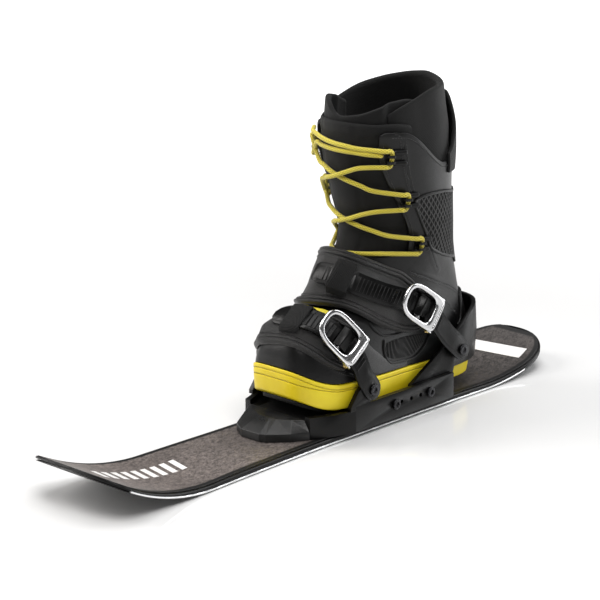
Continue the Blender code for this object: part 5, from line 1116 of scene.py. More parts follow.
def build_midsole():
    """Yellow foam sole: its outline's wall swells a little, with two moulded lines round it and a flat
    base."""
    f = Finish("midsole_foam_yellow")
    pores = f.cells(900.0, feature="SMOOTH_F1")
    cloud = f.noise(26.0, 5.0)
    scuff = f.noise(150.0, 6.0, 0.7)
    colour = f.shade(cloud, 0.32, 0.7, tint(228, 202, 22), tint(238, 216, 40))
    colour = f.shade(scuff, 0.60, 0.78, colour, tint(196, 172, 34), 0.45)
    line = f.between(f.attribute("line"), 0.0, 0.0008)
    colour = f.blend(line, tint(174, 150, 24), colour)
    foam = f.done(colour, f.between(cloud, 0.3, 0.7, 0.42, 0.54),
                  f.relief(line, 0.0008, 1.0, f.relief(f.sum("ADD", pores, scuff), 0.00012)))
    turn = round_turns(400)
    height = np.concatenate([[0.0, 0.0002, 0.0007], np.linspace(0.0016, 0.0248, 44),
                             [0.0255, 0.0258, 0.0259]])
    to_rim = np.minimum(height, 0.0259 - height) / 0.0012
    rounding = -0.0011 * (1 - np.sqrt(np.maximum(1 - (1 - to_rim).clip(0) ** 2, 0)))
    wave = 0.0022 * np.sin(turn * 2 + 0.5)[None]
    line_one = np.abs(height[:, None] - (0.0212 + wave * 0.1))
    from_toe = wrapped(turn)
    toe_sweep = 0.0150 + 0.0042 * ease(from_toe, 0.2, 1.0)[None] + 0.02 * ease(from_toe, 1.25, 1.6)[None]
    line_two = np.abs(height[:, None] - toe_sweep)
    mark = np.minimum(line_one, line_two)
    lift = rounding[:, None] + 0.00035 * np.sin(math.pi * height / 0.026)[:, None]
    lift = lift - 0.0004 * (1 - ease(mark, 0, 0.0009))
    turns, heights = np.broadcast_arrays(turn[None], np.minimum(height, 0.02599)[:, None])
    wall = boot_point(turns, heights, lift, True)
    inner = [boot_point(turn, np.full(len(turn), level), -0.004 - 0.011 * k, True)
             for k, level in ((0, 0.0259), (1, 0.0259), (2, 0.0259))]
    under = [boot_point(turn, np.full(len(turn), 0.0), -0.004 - 0.011 * k, True) for k in (2, 1, 0)]
    grid = np.concatenate([np.array(under), wall, np.array(inner)])
    marks = np.concatenate([np.full((3, len(turn)), 0.01), mark, np.full((3, len(turn)), 0.01)])
    sole = surface("midsole", grid, foam, wrap=True, values={"line": marks})
    close_ends(sole, len(turn))
    placed(sole, "skiboard", "boot_midsole", "boot_midsole")


def build_tongue():
    """Padded tongue in the lacing slot: three shallow padded fields between sewn channels, and a rolled
    top."""
    cloth = woven("tongue_cloth", grey(8), grey(20), 0.66, 820.0, 0.05)
    height = np.linspace(0.134, TONGUE_TOP + 0.002, 150)[:, None]
    spread = math.radians(84) * (1 - 0.10 * ease(height, 0.15, 0.26))
    share = np.linspace(-1, 1, 150)[None]
    turn = spread * share
    top = TONGUE_TOP + 0.006 * (1 - share ** 2) ** 0.5 - 0.004 + 0.003 * ease(np.abs(share), 0.5, 0.9)
    height = 0.134 + (top - 0.134) * np.linspace(0, 1, 150)[:, None]
    channel = np.minimum(np.abs(np.abs(turn) - math.radians(24)) * 0.05, np.abs(height - 0.262))
    channel = np.minimum(channel, np.abs(height - 0.166) + 0 * turn)
    puff = 0.0006 * ease(channel, 0.0, 0.006)
    edge = -0.0014 * (1 - ease(top - height, 0.0, 0.0028)) ** 1.5
    lift = -(SHELL_WALL + SOFT_PLAY) - 0.0003 + puff - 0.0004 + edge
    grid = boot_point(turn, height, lift)
    tongue = surface("tongue", grid, cloth, uv=boot_map(turn, height))
    walled(tongue, TONGUE_THICK - 0.0003, 0.0009, 3)
    placed(tongue, "skiboard", "boot_tongue", "boot_tongue")


def liner_rim(turn, front):
    """The rim's height, evened out over six degrees to each side."""
    return np.mean([liner_top(turn + math.radians(k), front) for k in np.linspace(-6, 6, 9)], axis=0)


def liner_top(turn, front):
    """Height of the liner's rim. The front part dips in the middle of the shin. The rear cuff rises to the
    back from a slanting front edge, by one table on the near side and by another on the far side."""
    degrees = (np.degrees(turn) + 180) % 360 - 180
    if front:
        return np.interp(degrees, (-78, -62, -46, -34, -20, -10, 0, 7, 30, 46, 62, 80, 98),
                         (0.2880, 0.2960, 0.2985, 0.2965, 0.2925, 0.2862, 0.2828, 0.2826, 0.2862, 0.2925,
                          0.2990, 0.3015, 0.2960))
    near = np.interp(degrees, (50, 56, 64, 74, 88, 100, 113, 135, 158, 180),
                     (0.2790, 0.2855, 0.2915, 0.2965, 0.3030, 0.3085, 0.3108, 0.3122, 0.3152, 0.3180))
    far = np.interp(-degrees, (50, 60, 74, 90, 113, 135, 158, 180),
                    (0.2800, 0.2850, 0.2905, 0.2960, 0.3035, 0.3100, 0.3152, 0.3180))
    return np.where(degrees > 0, near, far)


def liner_part(name, turns, low, top, outer, foam, material, rows=70, flare=0.0):
    """Foam wall: up the outer face, over a full round rim and down the inner face. The outer face leans out
    by the flare times the smooth step of its height."""
    bend = np.linspace(0, math.pi, 15)[1:-1]
    share = np.linspace(0, 1, rows)[:, None]
    straight = top - foam / 2
    up = low + (straight - low)[None] * share
    lean = flare * ease(up, 0.262, 0.312)
    out_rows = outer[None] + lean + 0.0006 * np.sin(math.pi * share)
    over = straight[None] + foam / 2 * np.sin(bend)[:, None]
    crest = lean[-1:] + outer[None] - foam / 2 + foam / 2 * np.cos(bend)[:, None]
    height = np.concatenate([up, over, up[::-1]])
    lift = np.concatenate([out_rows, crest, (out_rows - foam - 0.0003)[::-1]])
    turn = np.broadcast_to(turns[None], height.shape)
    height_in = np.minimum(height, LINER_TOP_ROW)
    grid = boot_point(turn, height_in, lift)
    grid[..., 2] += (height - height_in)
    length = np.concatenate([np.zeros((1, height.shape[1])),
                             np.cumsum(np.linalg.norm(np.diff(grid, axis=0), axis=2), 0)])
    uv = np.stack([turn * MAP_RADIUS, length], -1)
    return surface(name, grid, material, uv=uv)


def build_liner():
    """Inner boot: a front part across the shin, and a rear cuff whose slanting ends lap over it."""
    knit = woven("liner_knit", grey(3), grey(13), 0.72, 620.0, 0.06)
    turns = np.radians(np.linspace(-78, 98, 150))
    deep = -(SHELL_WALL + LINER_PLAY + TONGUE_THICK + SOFT_PLAY)
    behind = ease(np.abs(turns), math.radians(50), math.radians(60))
    front = liner_part("liner_front", turns, 0.190 + 0 * turns, liner_rim(turns, True),
                       deep - 0.0045 * behind, 0.0052, knit)
    closed_strip(front, 150)
    placed(front, "skiboard", "boot_liner", "boot_liner")
    turns = np.radians(np.linspace(56, 304, 260))
    side = ease(wrapped(turns), math.radians(84), math.radians(112))
    outer = -(SHELL_WALL + LINER_PLAY) - (TONGUE_THICK + SOFT_PLAY) * (1 - side)
    end = ease(wrapped(turns), math.radians(56), math.radians(64))
    foam = 0.0045 + 0.0025 * side
    rear = liner_part("liner_rear", turns, 0.165 + 0 * turns, liner_rim(turns, False),
                      outer - 0.0008 * (1 - end), foam, knit, 90, flare=0.0008)
    closed_strip(rear, 260)
    placed(rear, "skiboard", "boot_liner")
    turn = round_turns(160)
    height = np.concatenate([np.full(6, 0.0), np.linspace(0.030, 0.185, 70)])
    inset = np.concatenate([np.linspace(-0.034, -0.0085, 6), np.full(70, -0.0085)])
    height[:6] = 0.0295
    turn2, height2 = np.broadcast_arrays(turn[None], height[:, None])
    in_front = 1 - ease(wrapped(turn2), 1.5, 1.92)
    slim = -0.0075 - (TONGUE_THICK + SOFT_PLAY) * in_front * ease(height2, 0.108, 0.128)
    sock = boot_point(turn2, height2, np.minimum(inset[:, None], slim - 0.0008))
    round_map = np.linspace(0, math.tau, 161)[None] * MAP_RADIUS
    foot = surface("liner_foot", sock, knit, wrap=True,
                   uv=np.stack(np.broadcast_arrays(round_map, height[:, None]), -1))
    reworked(foot, [range(159, -1, -1)], outwards=False)
    walled(foot, 0.0035)
    placed(foot, "skiboard", "boot_liner")
    dark = woven("rear_guard_cloth", grey(3), grey(11), 0.6, 700.0, 0.03)
    turns = np.radians(np.linspace(117, 243, 150))
    away = np.abs(np.degrees(turns) - 180)
    top = 0.2985 - 0.056 * ease(away, 18, 63)
    guard = liner_part("rear_guard", turns, 0.222 + 0 * turns, top,
                       0.0022 + 0.0012 * (1 - ease(away, 30, 62)), 0.0034, dark, 60)
    closed_strip(guard, 150)
    placed(guard, "skiboard", "boot_liner")


def closed_strip(thing, cols):
    """Closes a folded strip of wall: its foot, and its two ends, get faces from the outer side to the
    inner."""
    rows = len(thing.data.vertices) // cols
    faces = []
    for col, way in ((0, 1), (cols - 1, -1)):
        for row in range((rows - 1) // 2):
            far = rows - 1 - row
            corners = [row * cols + col, (row + 1) * cols + col, (far - 1) * cols + col, far * cols + col]
            faces.append(list(dict.fromkeys(corners))[::way])
    last = (rows - 1) * cols
    faces += [(last + col, last + col + 1, col + 1, col) for col in range(cols - 1)]
    reworked(thing, faces, outwards=False)


# Straps
ANKLE = {"screw": (-0.160, 0.0573), "slope": math.radians(36.5), "core": 0.075}
TOE = {"screw": (-0.0245, 0.0475), "slope": math.radians(52.6), "core": 0.040}
ANKLE["pad"] = ((-22, -7, 13), (-10, -13, 22), (8, -20, 28), (28, -25, 32), (44, -28, 33), (58, -28.5, 29),
                (72, -30, 25), (85, -36, 23), (100, -40, 23), (130, -36, 24), (160, -26, 20), (186, -12, 11))
TOE["pad"] = ((-4, -10, 9), (8, -16, 20), (25, -21, 25), (46, -24, 23), (66, -26, 21), (91, -29, 20),
              (111, -32, 19), (135, -31, 16), (158, -27, 10), (178, -20, 2))


def strap_place(strap, turn, radius, offset):
    """World place from a turn round the strap's own core line, a distance from it and an offset across the
    strap: the strap's plane leans back by its slope at its screw."""
    c, s = math.cos(strap["slope"]), math.sin(strap["slope"])
    x, z = strap["screw"]
    across, along = radius * np.cos(turn), strap["core"] + radius * np.sin(turn)
    return np.stack(np.broadcast_arrays(x + along * c - offset * s, across, z + along * s + offset * c), -1)


def solid_tree(node):
    bm = node_shape(node)
    tree = BVHTree.FromBMesh(bm)
    bm.free()
    return tree


def softened(values, rounds):
    """Running mean over the neighbours along both directions."""
    for _ in range(rounds):
        wide = np.pad(values, 1, mode="edge")
        values = (wide[1:-1, 1:-1] * 4 + wide[:-2, 1:-1] + wide[2:, 1:-1] + wide[1:-1, :-2]
                  + wide[1:-1, 2:]) / 8
    return values


def pad_reach(strap, tree, turn, offset):
    """Distances from the strap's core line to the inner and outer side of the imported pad."""
    start = strap_place(strap, turn, 0.004, offset)
    ahead = strap_place(strap, turn, 1.004, offset) - start
    inner = np.full(turn.shape, np.nan)
    outer = np.full(turn.shape, np.nan)
    for k in np.ndindex(turn.shape):
        hit = tree.ray_cast(Vector(start[k]), Vector(ahead[k]))
        if hit[0] is not None:
            inner[k] = hit[3] + 0.004
            back = tree.ray_cast(Vector(start[k] + 0.2 * ahead[k]), Vector(-ahead[k]))
            outer[k] = 0.204 - back[3]
    return inner, outer


def filled(values):
    """Empty places of a grid take the nearest known value of their row, then of their column."""
    for grid in (values, values.T):
        for row in grid:
            known = ~np.isnan(row)
            if known.any() and not known.all():
                row[~known] = np.interp(np.flatnonzero(~known), np.flatnonzero(known), row[known])
    return values


def pad_finish(name):
    """Strap pad: coated cloth with a fine cross-hatch, creased and darker beside its sewn lines."""
    f = Finish(name)
    along, across, _ = f.parts(f.stretched(f.uv(), (1150.0, 1150.0, 1.0)))
    hatch = f.sum("MULTIPLY", f.wave(along, math.tau), f.wave(across, math.tau))
    blotch = f.noise(28.0, 5.0)
    crease = f.noise(150.0, 6.0, 0.7)
    colour = f.shade(hatch, -0.7, 0.9, grey(11), grey(23))
    colour = f.shade(blotch, 0.35, 0.7, colour, tint(32, 29, 28), 0.6)
    near = f.between(f.attribute("seam"), 0.0, 0.0010)
    colour = f.blend(near, grey(6), colour)
    normal = f.relief(near, 0.0006, 1.0, f.relief(f.sum("ADD", hatch, crease), 0.00014))
    return f.done(colour, f.between(blotch, 0.3, 0.7, 0.38, 0.50), normal, Sheen_Weight=0.05)


def build_pad(strap, name, ridges, sewn, belly, rolled, taller):
    """Strap pad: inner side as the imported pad's, outer side crowned between its edges, with two raised rolls
    along each edge, and its whole rim rounded by a rounded oblong's curve."""
    tree = solid_tree(name)
    table = np.array(strap["pad"], float)
    order = np.linspace(table[0, 0] + 0.6, table[-1, 0] - 0.6, 64)
    low, high = (softened(np.interp(order, table[:, 0], table[:, k])[None], 3)[0] for k in (1, 2))
    way = np.linspace(-0.93, 0.93, 24)
    turn = np.radians(np.broadcast_to(order[:, None], (64, 24)))
    offset = ((low + high) / 2)[:, None] + ((high - low) / 2)[:, None] * way
    inner, outer = pad_reach(strap, tree, turn, offset / 1000)
    inner, outer = softened(filled(inner), 3), softened(filled(outer), 3)
    count, wide = 300, 96
    turns = np.linspace(order[0], order[-1], count)
    ways = np.linspace(-1, 1, wide)
    rows = np.interp(turns, order, np.arange(64))
    cols = np.interp(ways, way, np.arange(24))

    def fine(values):
        upper = np.minimum(rows.astype(int) + 1, 63)
        share = (rows - rows.astype(int))[:, None]
        along = values[rows.astype(int)] * (1 - share) + values[upper] * share
        right = np.minimum(cols.astype(int) + 1, 23)
        part = cols - cols.astype(int)
        return softened(along[:, cols.astype(int)] * (1 - part) + along[:, right] * part, 12)

    inner, outer = fine(inner), fine(outer)
    low, high = np.interp(turns, order, low) / 1000, np.interp(turns, order, high) / 1000
    middle, half = ((low + high) / 2)[:, None], ((high - low) / 2)[:, None]
    to_end = np.minimum(np.arange(count), np.arange(count)[::-1])[:, None] / 16.0
    rim = np.minimum(1 - np.abs(ways)[None], to_end * 0.25)
    cover = np.minimum(1.0, 1 - (1 - np.minimum(rim / 0.11, 1)) ** 2.4) ** 0.5
    thick = (outer - inner) * cover
    edge = (1 - np.abs(ways))[None] * half
    upper = np.where(ways[None] > 0, rolled, 1.0)
    roll = sum(0.0008 * upper * np.exp(-((edge - at) / 0.0016) ** 2) for at in ridges)
    seam = np.minimum.reduce([np.abs(edge - at) for at in sewn])
    swell = belly * (1 - ways[None] ** 2)
    lift = (roll + swell) * cover - 0.0005 * (1 - ease(seam, 0, 0.0012)) * cover
    narrow = middle + half * ways[None] * (1 - 0.10 * (1 - np.minimum(to_end, 1)) ** 2)
    narrow = narrow + taller * ease(ways, 0.2, 1.0)[None] * np.minimum(to_end, 1)
    angle = np.radians(turns)[:, None]
    top = strap_place(strap, angle, inner + thick + lift, narrow)
    under = strap_place(strap, angle, inner + 0.0002, narrow)
    grid = np.concatenate([top, under[:, ::-1]], 1)
    marks = np.concatenate([seam, np.full_like(seam, 0.02)], 1)
    length = angle * 0.06 + 0 * narrow
    uv = np.stack([length, narrow], -1)
    uv = np.concatenate([uv, uv[:, ::-1]], 1)
    uv = np.concatenate([uv, uv[:, :1]], 1)
    pad = surface(name + "_soft", grid[:, ::-1], pad_finish(name + "_cloth"), wrap=True,
                  uv=uv[:, ::-1], values={"seam": marks[:, ::-1]})
    faces = [(start + k, start + k + 1, start + 2 * wide - 2 - k, start + 2 * wide - 1 - k)
             for start in (0, (count - 1) * grid.shape[1]) for k in range(wide - 1)]
    reworked(pad, faces, 1e-5)
    placed(pad, "skiboard", "strap_pad", name)
    place = inner + thick + lift
    normal = strap_place(strap, angle, place + 0.01, narrow) - top
    return top, normal


def build_straps():
    """Both pads with their stitching, and the ladders, arms and keepers that hold them."""
    f = Finish("pad_thread")
    twist = f.noise(2600.0, 3.0)
    thread = f.done(f.shade(twist, 0.35, 0.65, grey(30), grey(74)), 0.6, f.relief(twist, 0.00008))
    lines = []
    for strap, name, belly, rolled, taller in ((ANKLE, "ankle_strap_pad", 0.0006, 1.3, 0.0),
                                               (TOE, "toe_strap_pad", 0.0004, 2.6, 0.0035)):
        top, normal = build_pad(strap, name, (0.0026, 0.0062), (0.0044, 0.0086), belly, rolled, taller)
        for col in (17, 78):
            lines.append((top[14:-14, col], normal[14:-14, col]))
    placed(stitching("pad_stitches", lines, thread, 0.0028, 0.0020, 0.0003), "skiboard", "strap_pad")
    plastic = moulded("ladder_plastic", grey(6), grey(12), 0.32)
    arm = moulded("arm_plastic", grey(5), grey(11), 0.34)
    web = keeper_finish()
    for end in ("ankle", "toe"):
        dressed(end + "_ladder", plastic, edge=0.00035, slot="ladder")
        dressed(end + "_far_arm", arm, edge=0.0004, slot="ladder")
        dressed(end + "_keeper", web, edge=0.0005, slot="keeper")


def keeper_finish():
    """Keeper webbing: coarse ribs across a black band, with lint."""
    f = Finish("keeper_webbing")
    x, y, z = f.parts(f.place)
    rib = f.wave(f.sum("ADD", x, f.sum("MULTIPLY", z, 0.9)), 4200.0)
    cross = f.wave(y, 5200.0)
    lint = f.noise(1500.0, 3.0)
    colour = f.shade(rib, -0.6, 0.8, grey(4), grey(14))
    colour = f.shade(lint, 0.55, 0.8, colour, grey(30), 0.4)
    height = f.weighed(rib, 0.6, cross, 0.4)
    return f.done(colour, f.between(lint, 0.3, 0.7, 0.62, 0.78), f.relief(height, 0.00018), Sheen_Weight=0.05,
                  Specular_IOR_Level=0.25)


def build_buckles():
    """Buckle plates, ring levers, sprung release levers and their pins."""
    chrome = chromed("lever_chrome", (0.70, 0.70, 0.71), 0.19)
    black = moulded("buckle_black", grey(4), grey(10), 0.28)
    steel = chromed("pin_steel", (0.60, 0.60, 0.61), 0.26)
    brass = chromed("pin_brass", (0.72, 0.54, 0.22), 0.22)
    spring = chromed("spring_steel", (0.45, 0.45, 0.46), 0.30)
    for end in ("ankle", "toe"):
        dressed(end + "_buckle_base", black, edge=0.0003, slot="buckle_base")
        build_lever(end, chrome, black, brass)
        dressed(end + "_buckle_release", black, end + "_release", 0.0003, slot="buckle_base")
        dressed(end + "_buckle_lever_pin", brass, body_of(end + "_buckle_lever_pin"), 0.0002,
                slot="lever_pin")
        dressed(end + "_buckle_release_pin", steel, body_of(end + "_buckle_release_pin"), 0.0002,
                slot="small_steel")
        dressed(end + "_buckle_spring", spring, body_of(end + "_buckle_spring"), 0.0, slot="small_steel")


def in_buckle(end, t, n, w):
    """World place from the buckle's own axes: t along the strap, n outward, w across it."""
    along, out, across, origin = (np.array(v) for v in LEVER_PIN[end])
    t, n, w = np.broadcast_arrays(*(np.asarray(v, float) for v in (t, n, w)))
    return origin + t[..., None] * along + n[..., None] * out + w[..., None] * across


def oblong(turn, rear, front, half, square_front, square_rear):
    """Closed outline: half a rounded oblong at each end, each with its own squareness, on a shared middle."""
    c, s = np.cos(turn), np.sin(turn)
    power = 2 / (square_rear + (square_front - square_rear) * ease(c, -0.25, 0.25))
    middle, reach = (front + rear) / 2, (front - rear) / 2
    return middle + reach * blunt(c, power), half * blunt(s, power)


def lever_ring_places(end):
    """Between its outer and inner outline, a domed band whose section is a rounded oblong. It is broad at its
    square end and round at its pull end, where it rises a little more."""
    turn, bend = round_turns(260)[:, None], round_turns(30)[None]
    outer, inner = oblong(turn, *RING_OUTER), oblong(turn, *RING_INNER)
    share, rise = blunt(np.cos(bend), 0.80), blunt(np.sin(bend), 0.90)
    t, w = ((outer[k] + inner[k]) / 2 + (outer[k] - inner[k]) / 2 * share for k in (0, 1))
    n = LEVER_RISE + 0.0022 * rise + 0.0010 * ease(-t, 0.030, 0.052)
    grid = in_buckle(end, t, n, w)
    return np.concatenate([grid, grid[:1]])


def cheek_places(end, side):
    """An oblong outline carried across the cheek's thickness, with softened rims, which rises to the ring."""
    slim = np.array((0.0, 0.93, 1.0, 1.0, 0.93, 0.0))[:, None]
    level = (CHEEK_AT + CHEEK_THICK * np.array((0.0, 0.0, 0.15, 0.85, 1.0, 1.0)))[:, None]
    t, n = oblong(round_turns(64)[None], *CHEEK)
    raised = 0.0008 + 0.0022 * ease(-t, 0.002, 0.015)
    return in_buckle(end, CHEEK_MIDDLE + (t - CHEEK_MIDDLE) * slim, raised + n * slim, side * level)


def rivet_places(end, side):
    """The rivet's profile turned about the pin."""
    along, radius = np.array(RIVET).T[:, :, None]
    spin = round_turns(32)[None]
    return in_buckle(end, radius * np.cos(spin), radius * np.sin(spin), side * along)


def drum_places(end):
    """The drum's section, a half circle under a flat block, carried across with both ends drawn in."""
    arc = np.radians(np.linspace(180, 360, 17))
    t = np.concatenate([DRUM_RADIUS * np.cos(arc), (DRUM_RADIUS, -DRUM_RADIUS)])
    n = np.concatenate([DRUM_RADIUS * np.sin(arc), (0.0048, 0.0048)])
    way = np.concatenate([[-0.0126, -0.0124], np.linspace(-0.0120, 0.0120, 7), [0.0124, 0.0126]])[:, None]
    slim = np.where(np.abs(way) > 0.0125, 0.88, np.where(np.abs(way) > 0.0123, 0.97, 1.0))
    return in_buckle(end, t * slim, n * slim, way)


def build_lever(end, chrome, black, brass):
    """Ring lever: a ring with a ridge across its square end, and under it the drive drum. A cheek on each
    side holds a hollow rivet."""
    lever = end + "_lever"
    ring = tidy(surface(lever + "_ring", lever_ring_places(end), chrome, wrap=True))
    placed(reworked(ring), lever, "lever", end + "_buckle_lever")
    way = np.linspace(-0.0132, 0.0132, 30)
    ridge = rod(lever + "_ridge", in_buckle(end, 0.0008, 0.0063, way), 0.0013, chrome, 16)
    placed(ridge, lever, "lever")
    for side, name in ((1, "_upper"), (-1, "_lower")):
        cheek = tidy(surface(lever + "_cheek" + name, cheek_places(end, side), chrome, wrap=True))
        placed(reworked(cheek), lever, "lever")
        rivet = tidy(surface(lever + "_rivet" + name, rivet_places(end, side), brass, wrap=True))
        placed(reworked(rivet, merge=3e-5), lever, "lever_pin")
    places = drum_places(end)
    drum = close_ends(surface(lever + "_drum", places, black, wrap=True), places.shape[1], outwards=True)
    split_edges(drum, 40)
    placed(drum, lever, "lever")


def body_of(node):
    """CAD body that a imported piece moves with."""
    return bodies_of(frame["nodes"][node])[0]


def build_base():
    """Base plate, toe block, heel frame, pads under the sole, and every screw and bolt."""
    plate = moulded("base_plate_black", grey(5), grey(11), 0.36)
    block = moulded("toe_block_grey", grey(30), grey(44), 0.30, 0.00009)
    hoop = moulded("heel_frame_black", grey(7), grey(14), 0.34)
    rubber = moulded("sole_pads_rubber", grey(16), grey(26), 0.6, 0.00012)
    screws = chromed("screw_black_steel", (0.045, 0.045, 0.048), 0.30)
    dressed("base_plate", plate, edge=0.0004, slot="base_plate", angle=12)
    dressed("toe_block", block, edge=0.0005, slot="toe_block", angle=9)
    dressed("heel_frame", hoop, edge=0.0006, slot="heel_frame")
    dressed("heel_pad", rubber, edge=0.0004, slot="pads")
    dressed("toe_ramp_pad", rubber, edge=0.0004, slot="pads")
    dressed("boot_outsole", rubber, edge=0.0004, slot="boot_outsole")
    names = ["mount_screw_%d" % k for k in (1, 2, 3, 4)] + ["frame_bolt_%d" % k for k in (1, 2, 3, 4)]
    names += ["%s_strap_screw_%d" % (end, k) for end in ("ankle", "toe") for k in (1, 2)]
    for name in names:
        dressed(name, screws, edge=0.00025, slot="screws")


def build_vamp_piece():
    """Yellow piece over the instep between the two pads: a thin swelled strip with a bound edge."""
    f = Finish("vamp_yellow")
    weave = f.cells(1300.0)
    cloud = f.noise(45.0, 4.0)
    colour = f.shade(cloud, 0.3, 0.7, tint(206, 188, 40), tint(226, 210, 66))
    colour = f.shade(weave, 0.3, 0.6, colour, tint(176, 158, 30), 0.4)
    material = f.done(colour, f.between(cloud, 0.3, 0.7, 0.5, 0.62), f.relief(weave, 0.00012))
    turns = np.radians(np.linspace(-24, 24, 90))
    away = np.abs(np.degrees(turns))
    low = 0.0888 - 0.0022 * ease(away, 8, 24)
    high = 0.0922 - 0.0012 * ease(away, 10, 24)
    strip = skin_panel("vamp_strip", turns, low, high, material, 0.0010, 0.0003, 30, 0.0010, edge=0.0004)
    placed(strip, "skiboard", "vamp_piece", "vamp_piece")


def build_pull_loop():
    """Webbing loop at the back of the shaft: a flat band carried along a bowed line, sewn down at both
    ends."""
    cloth = woven("loop_webbing", grey(18), grey(38), 0.7, 760.0, 0.25)
    heights = np.linspace(0.168, 0.224, 90)
    share = np.linspace(-1, 1, 90)
    lift = 0.0008 + 0.0060 * ease(1 - np.abs(share), 0.22, 0.75)
    centre = boot_point(np.full(90, math.pi), heights, lift)
    ahead = unit(np.gradient(centre, axis=0))
    out = np.cross((0.0, 1.0, 0.0), ahead)
    out *= np.sign(-out[:, :1])
    t = round_turns(26)
    wide = 0.0080 * blunt(np.cos(t), 0.35)
    high = 0.0009 * blunt(np.sin(t), 0.7)
    sideways = wide[None, :, None] * np.array((0.0, 1.0, 0.0))
    grid = centre[:, None] + sideways + high[None, :, None] * out[:, None]
    uv = np.stack(np.broadcast_arrays(np.linspace(0, 0.036, 27)[None], (heights[:, None])), -1)
    loop = close_ends(surface("pull_loop_webbing", grid, cloth, wrap=True, uv=uv), 26, outwards=True)
    placed(loop, "skiboard", "trim", "pull_loop")


def build_lacing():
    """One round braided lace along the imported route, and the black hook plates that it runs behind."""
    f = Finish("lace_braid")
    around, along, _ = f.parts(f.uv())
    twist = f.sum("MULTIPLY", around, math.tau * 6)
    run = f.sum("MULTIPLY", along, math.tau / 0.0034)
    one = f.sum("SINE", f.sum("ADD", twist, run))
    two = f.sum("SINE", f.sum("SUBTRACT", twist, run))
    braid = f.sum("MAXIMUM", one, two)
    lint = f.noise(1700.0, 3.0)
    soil = f.noise(90.0, 4.0)
    colour = f.shade(braid, -0.2, 0.9, tint(150, 132, 22), tint(228, 212, 66))
    colour = f.shade(soil, 0.5, 0.8, colour, tint(190, 170, 48), 0.4)
    height = f.sum("ADD", braid, f.sum("MULTIPLY", lint, 0.4))
    yarn = f.done(colour, f.between(lint, 0.3, 0.7, 0.55, 0.72), f.relief(height, 0.00032), Sheen_Weight=0.25)
    line = smooth_line(np.array(LACE_ROUTE) / 1000, 0.0009)
    lace = rod("lace", line, LACE_RADIUS - 0.0001, yarn, 18)
    placed(lace, "skiboard", "lace", "boot_lace")
    hook = moulded("hook_black", grey(3), grey(9), 0.45)
    for side, end in ((1, "near"), (-1, "far")):
        for k, (height, reach) in enumerate(HOOKS, 1):
            dressed("lace_hook_%s_%d" % (end, k), hook, edge=0.00025, slot="hooks")
            start = slot_turn(height) + HOOK_FROM
            turns = side * np.linspace(start, start + math.radians(reach), 14)
            for way, level in ((1, "upper"), (-1, "lower")):
                bar = rod("hook_bar_%s_%d_%s" % (end, k, level),
                          boot_point(turns, height + way * HOOK_BAR_APART, 0.0016), 0.0027, hook, 14)
                placed(bar, "skiboard", "hooks")


# Stage
SURROUND_DIM = 0.09
LAMP_AIM = Vector((-0.02, 0.0, 0.13))

# Lamps: name, place, size, watts and colour
LAMPS = (
    ("key", (1.0, 1.3, 2.6), (1.5, 1.5), 56, (1.0, 0.99, 0.98)),
    ("left", (1.3, -1.7, 1.3), (1.0, 2.0), 50, (1.0, 0.975, 0.95)),
    ("right_rear", (-1.9, 1.0, 1.0), (0.8, 2.0), 26, (0.98, 0.99, 1.0)),
    ("top", (-0.3, -0.3, 2.6), (2.0, 2.0), 44, (1, 1, 1)),
)


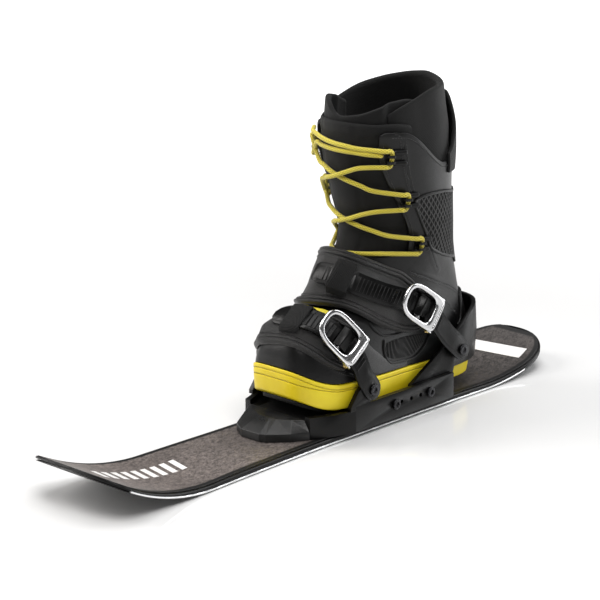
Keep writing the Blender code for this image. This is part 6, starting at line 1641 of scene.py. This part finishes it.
def build_floor():
    """White glossy floor that keeps the object's shadow. Further out it glows white to the camera and in
    reflections."""
    f = Finish("floor_white")
    paint = f.noise(3.0, 2.0)
    f.fill(f.shader.inputs["Base Color"], f.shade(paint, 0.3, 0.7, (0.80, 0.80, 0.80), (0.82, 0.82, 0.82)))
    f.shader.inputs["Roughness"].default_value = 0.06
    f.shader.inputs["Specular IOR Level"].default_value = 0.55
    rays = f.node("ShaderNodeLightPath").outputs
    seen = f.sum("MAXIMUM", rays["Is Camera Ray"], rays["Is Glossy Ray"])
    f.shader.inputs["Emission Color"].default_value = (1, 1, 1, 1)
    away = f.fill_and(f.node("ShaderNodeVectorMath", operation="LENGTH"), f.place).outputs["Value"]
    glow = f.between(away, 0.45, 1.6, 0.02, 0.95)
    f.fill(f.shader.inputs["Emission Strength"], f.sum("MULTIPLY", seen, glow))
    reach = 9.0
    grid = np.array([[(-reach, -reach, 0), (reach, -reach, 0)], [(-reach, reach, 0), (reach, reach, 0)]],
                    float)
    grid[..., 2] = -0.0002
    surface("floor", grid, f.material)


def build_surround():
    """World that is white to the camera and through clear parts, and dim to every other ray, glossy ones
    too."""
    world = bpy.data.worlds.new("surround")
    bpy.context.scene.world = world
    world.use_nodes = True
    tree = world.node_tree
    back = tree.nodes["Background"]
    back.inputs["Color"].default_value = (1, 1, 1, 1)
    path = tree.nodes.new("ShaderNodeLightPath")
    straight = tree.nodes.new("ShaderNodeMath")
    straight.operation = "MAXIMUM"
    tree.links.new(path.outputs["Is Camera Ray"], straight.inputs[0])
    tree.links.new(path.outputs["Is Transmission Ray"], straight.inputs[1])
    strength = tree.nodes.new("ShaderNodeMapRange")
    strength.inputs["To Min"].default_value = SURROUND_DIM
    strength.inputs["To Max"].default_value = 1.0
    tree.links.new(straight.outputs[0], strength.inputs["Value"])
    tree.links.new(strength.outputs[0], back.inputs["Strength"])


def build_lamps():
    """Four soft lamps, each turned to the object."""
    for name, where, size, power, colour in LAMPS:
        lamp = bpy.data.lights.new(name, "AREA")
        lamp.shape = "RECTANGLE"
        lamp.size, lamp.size_y = size
        lamp.energy = power
        lamp.color = colour
        thing = bpy.data.objects.new(name, lamp)
        thing.location = where
        thing.rotation_euler = (Vector(where) - LAMP_AIM).to_track_quat("Z", "Y").to_euler()
        bpy.context.scene.collection.objects.link(thing)


build_lacing()
build_ski()
build_plain_marks()
build_midsole()
build_shell()
build_calf_mesh()
build_side_pieces()
build_boot_thread()
build_tongue()
build_liner()
build_vamp_piece()
build_pull_loop()
build_base()
build_straps()
build_buckles()
build_floor()
build_surround()
build_lamps()
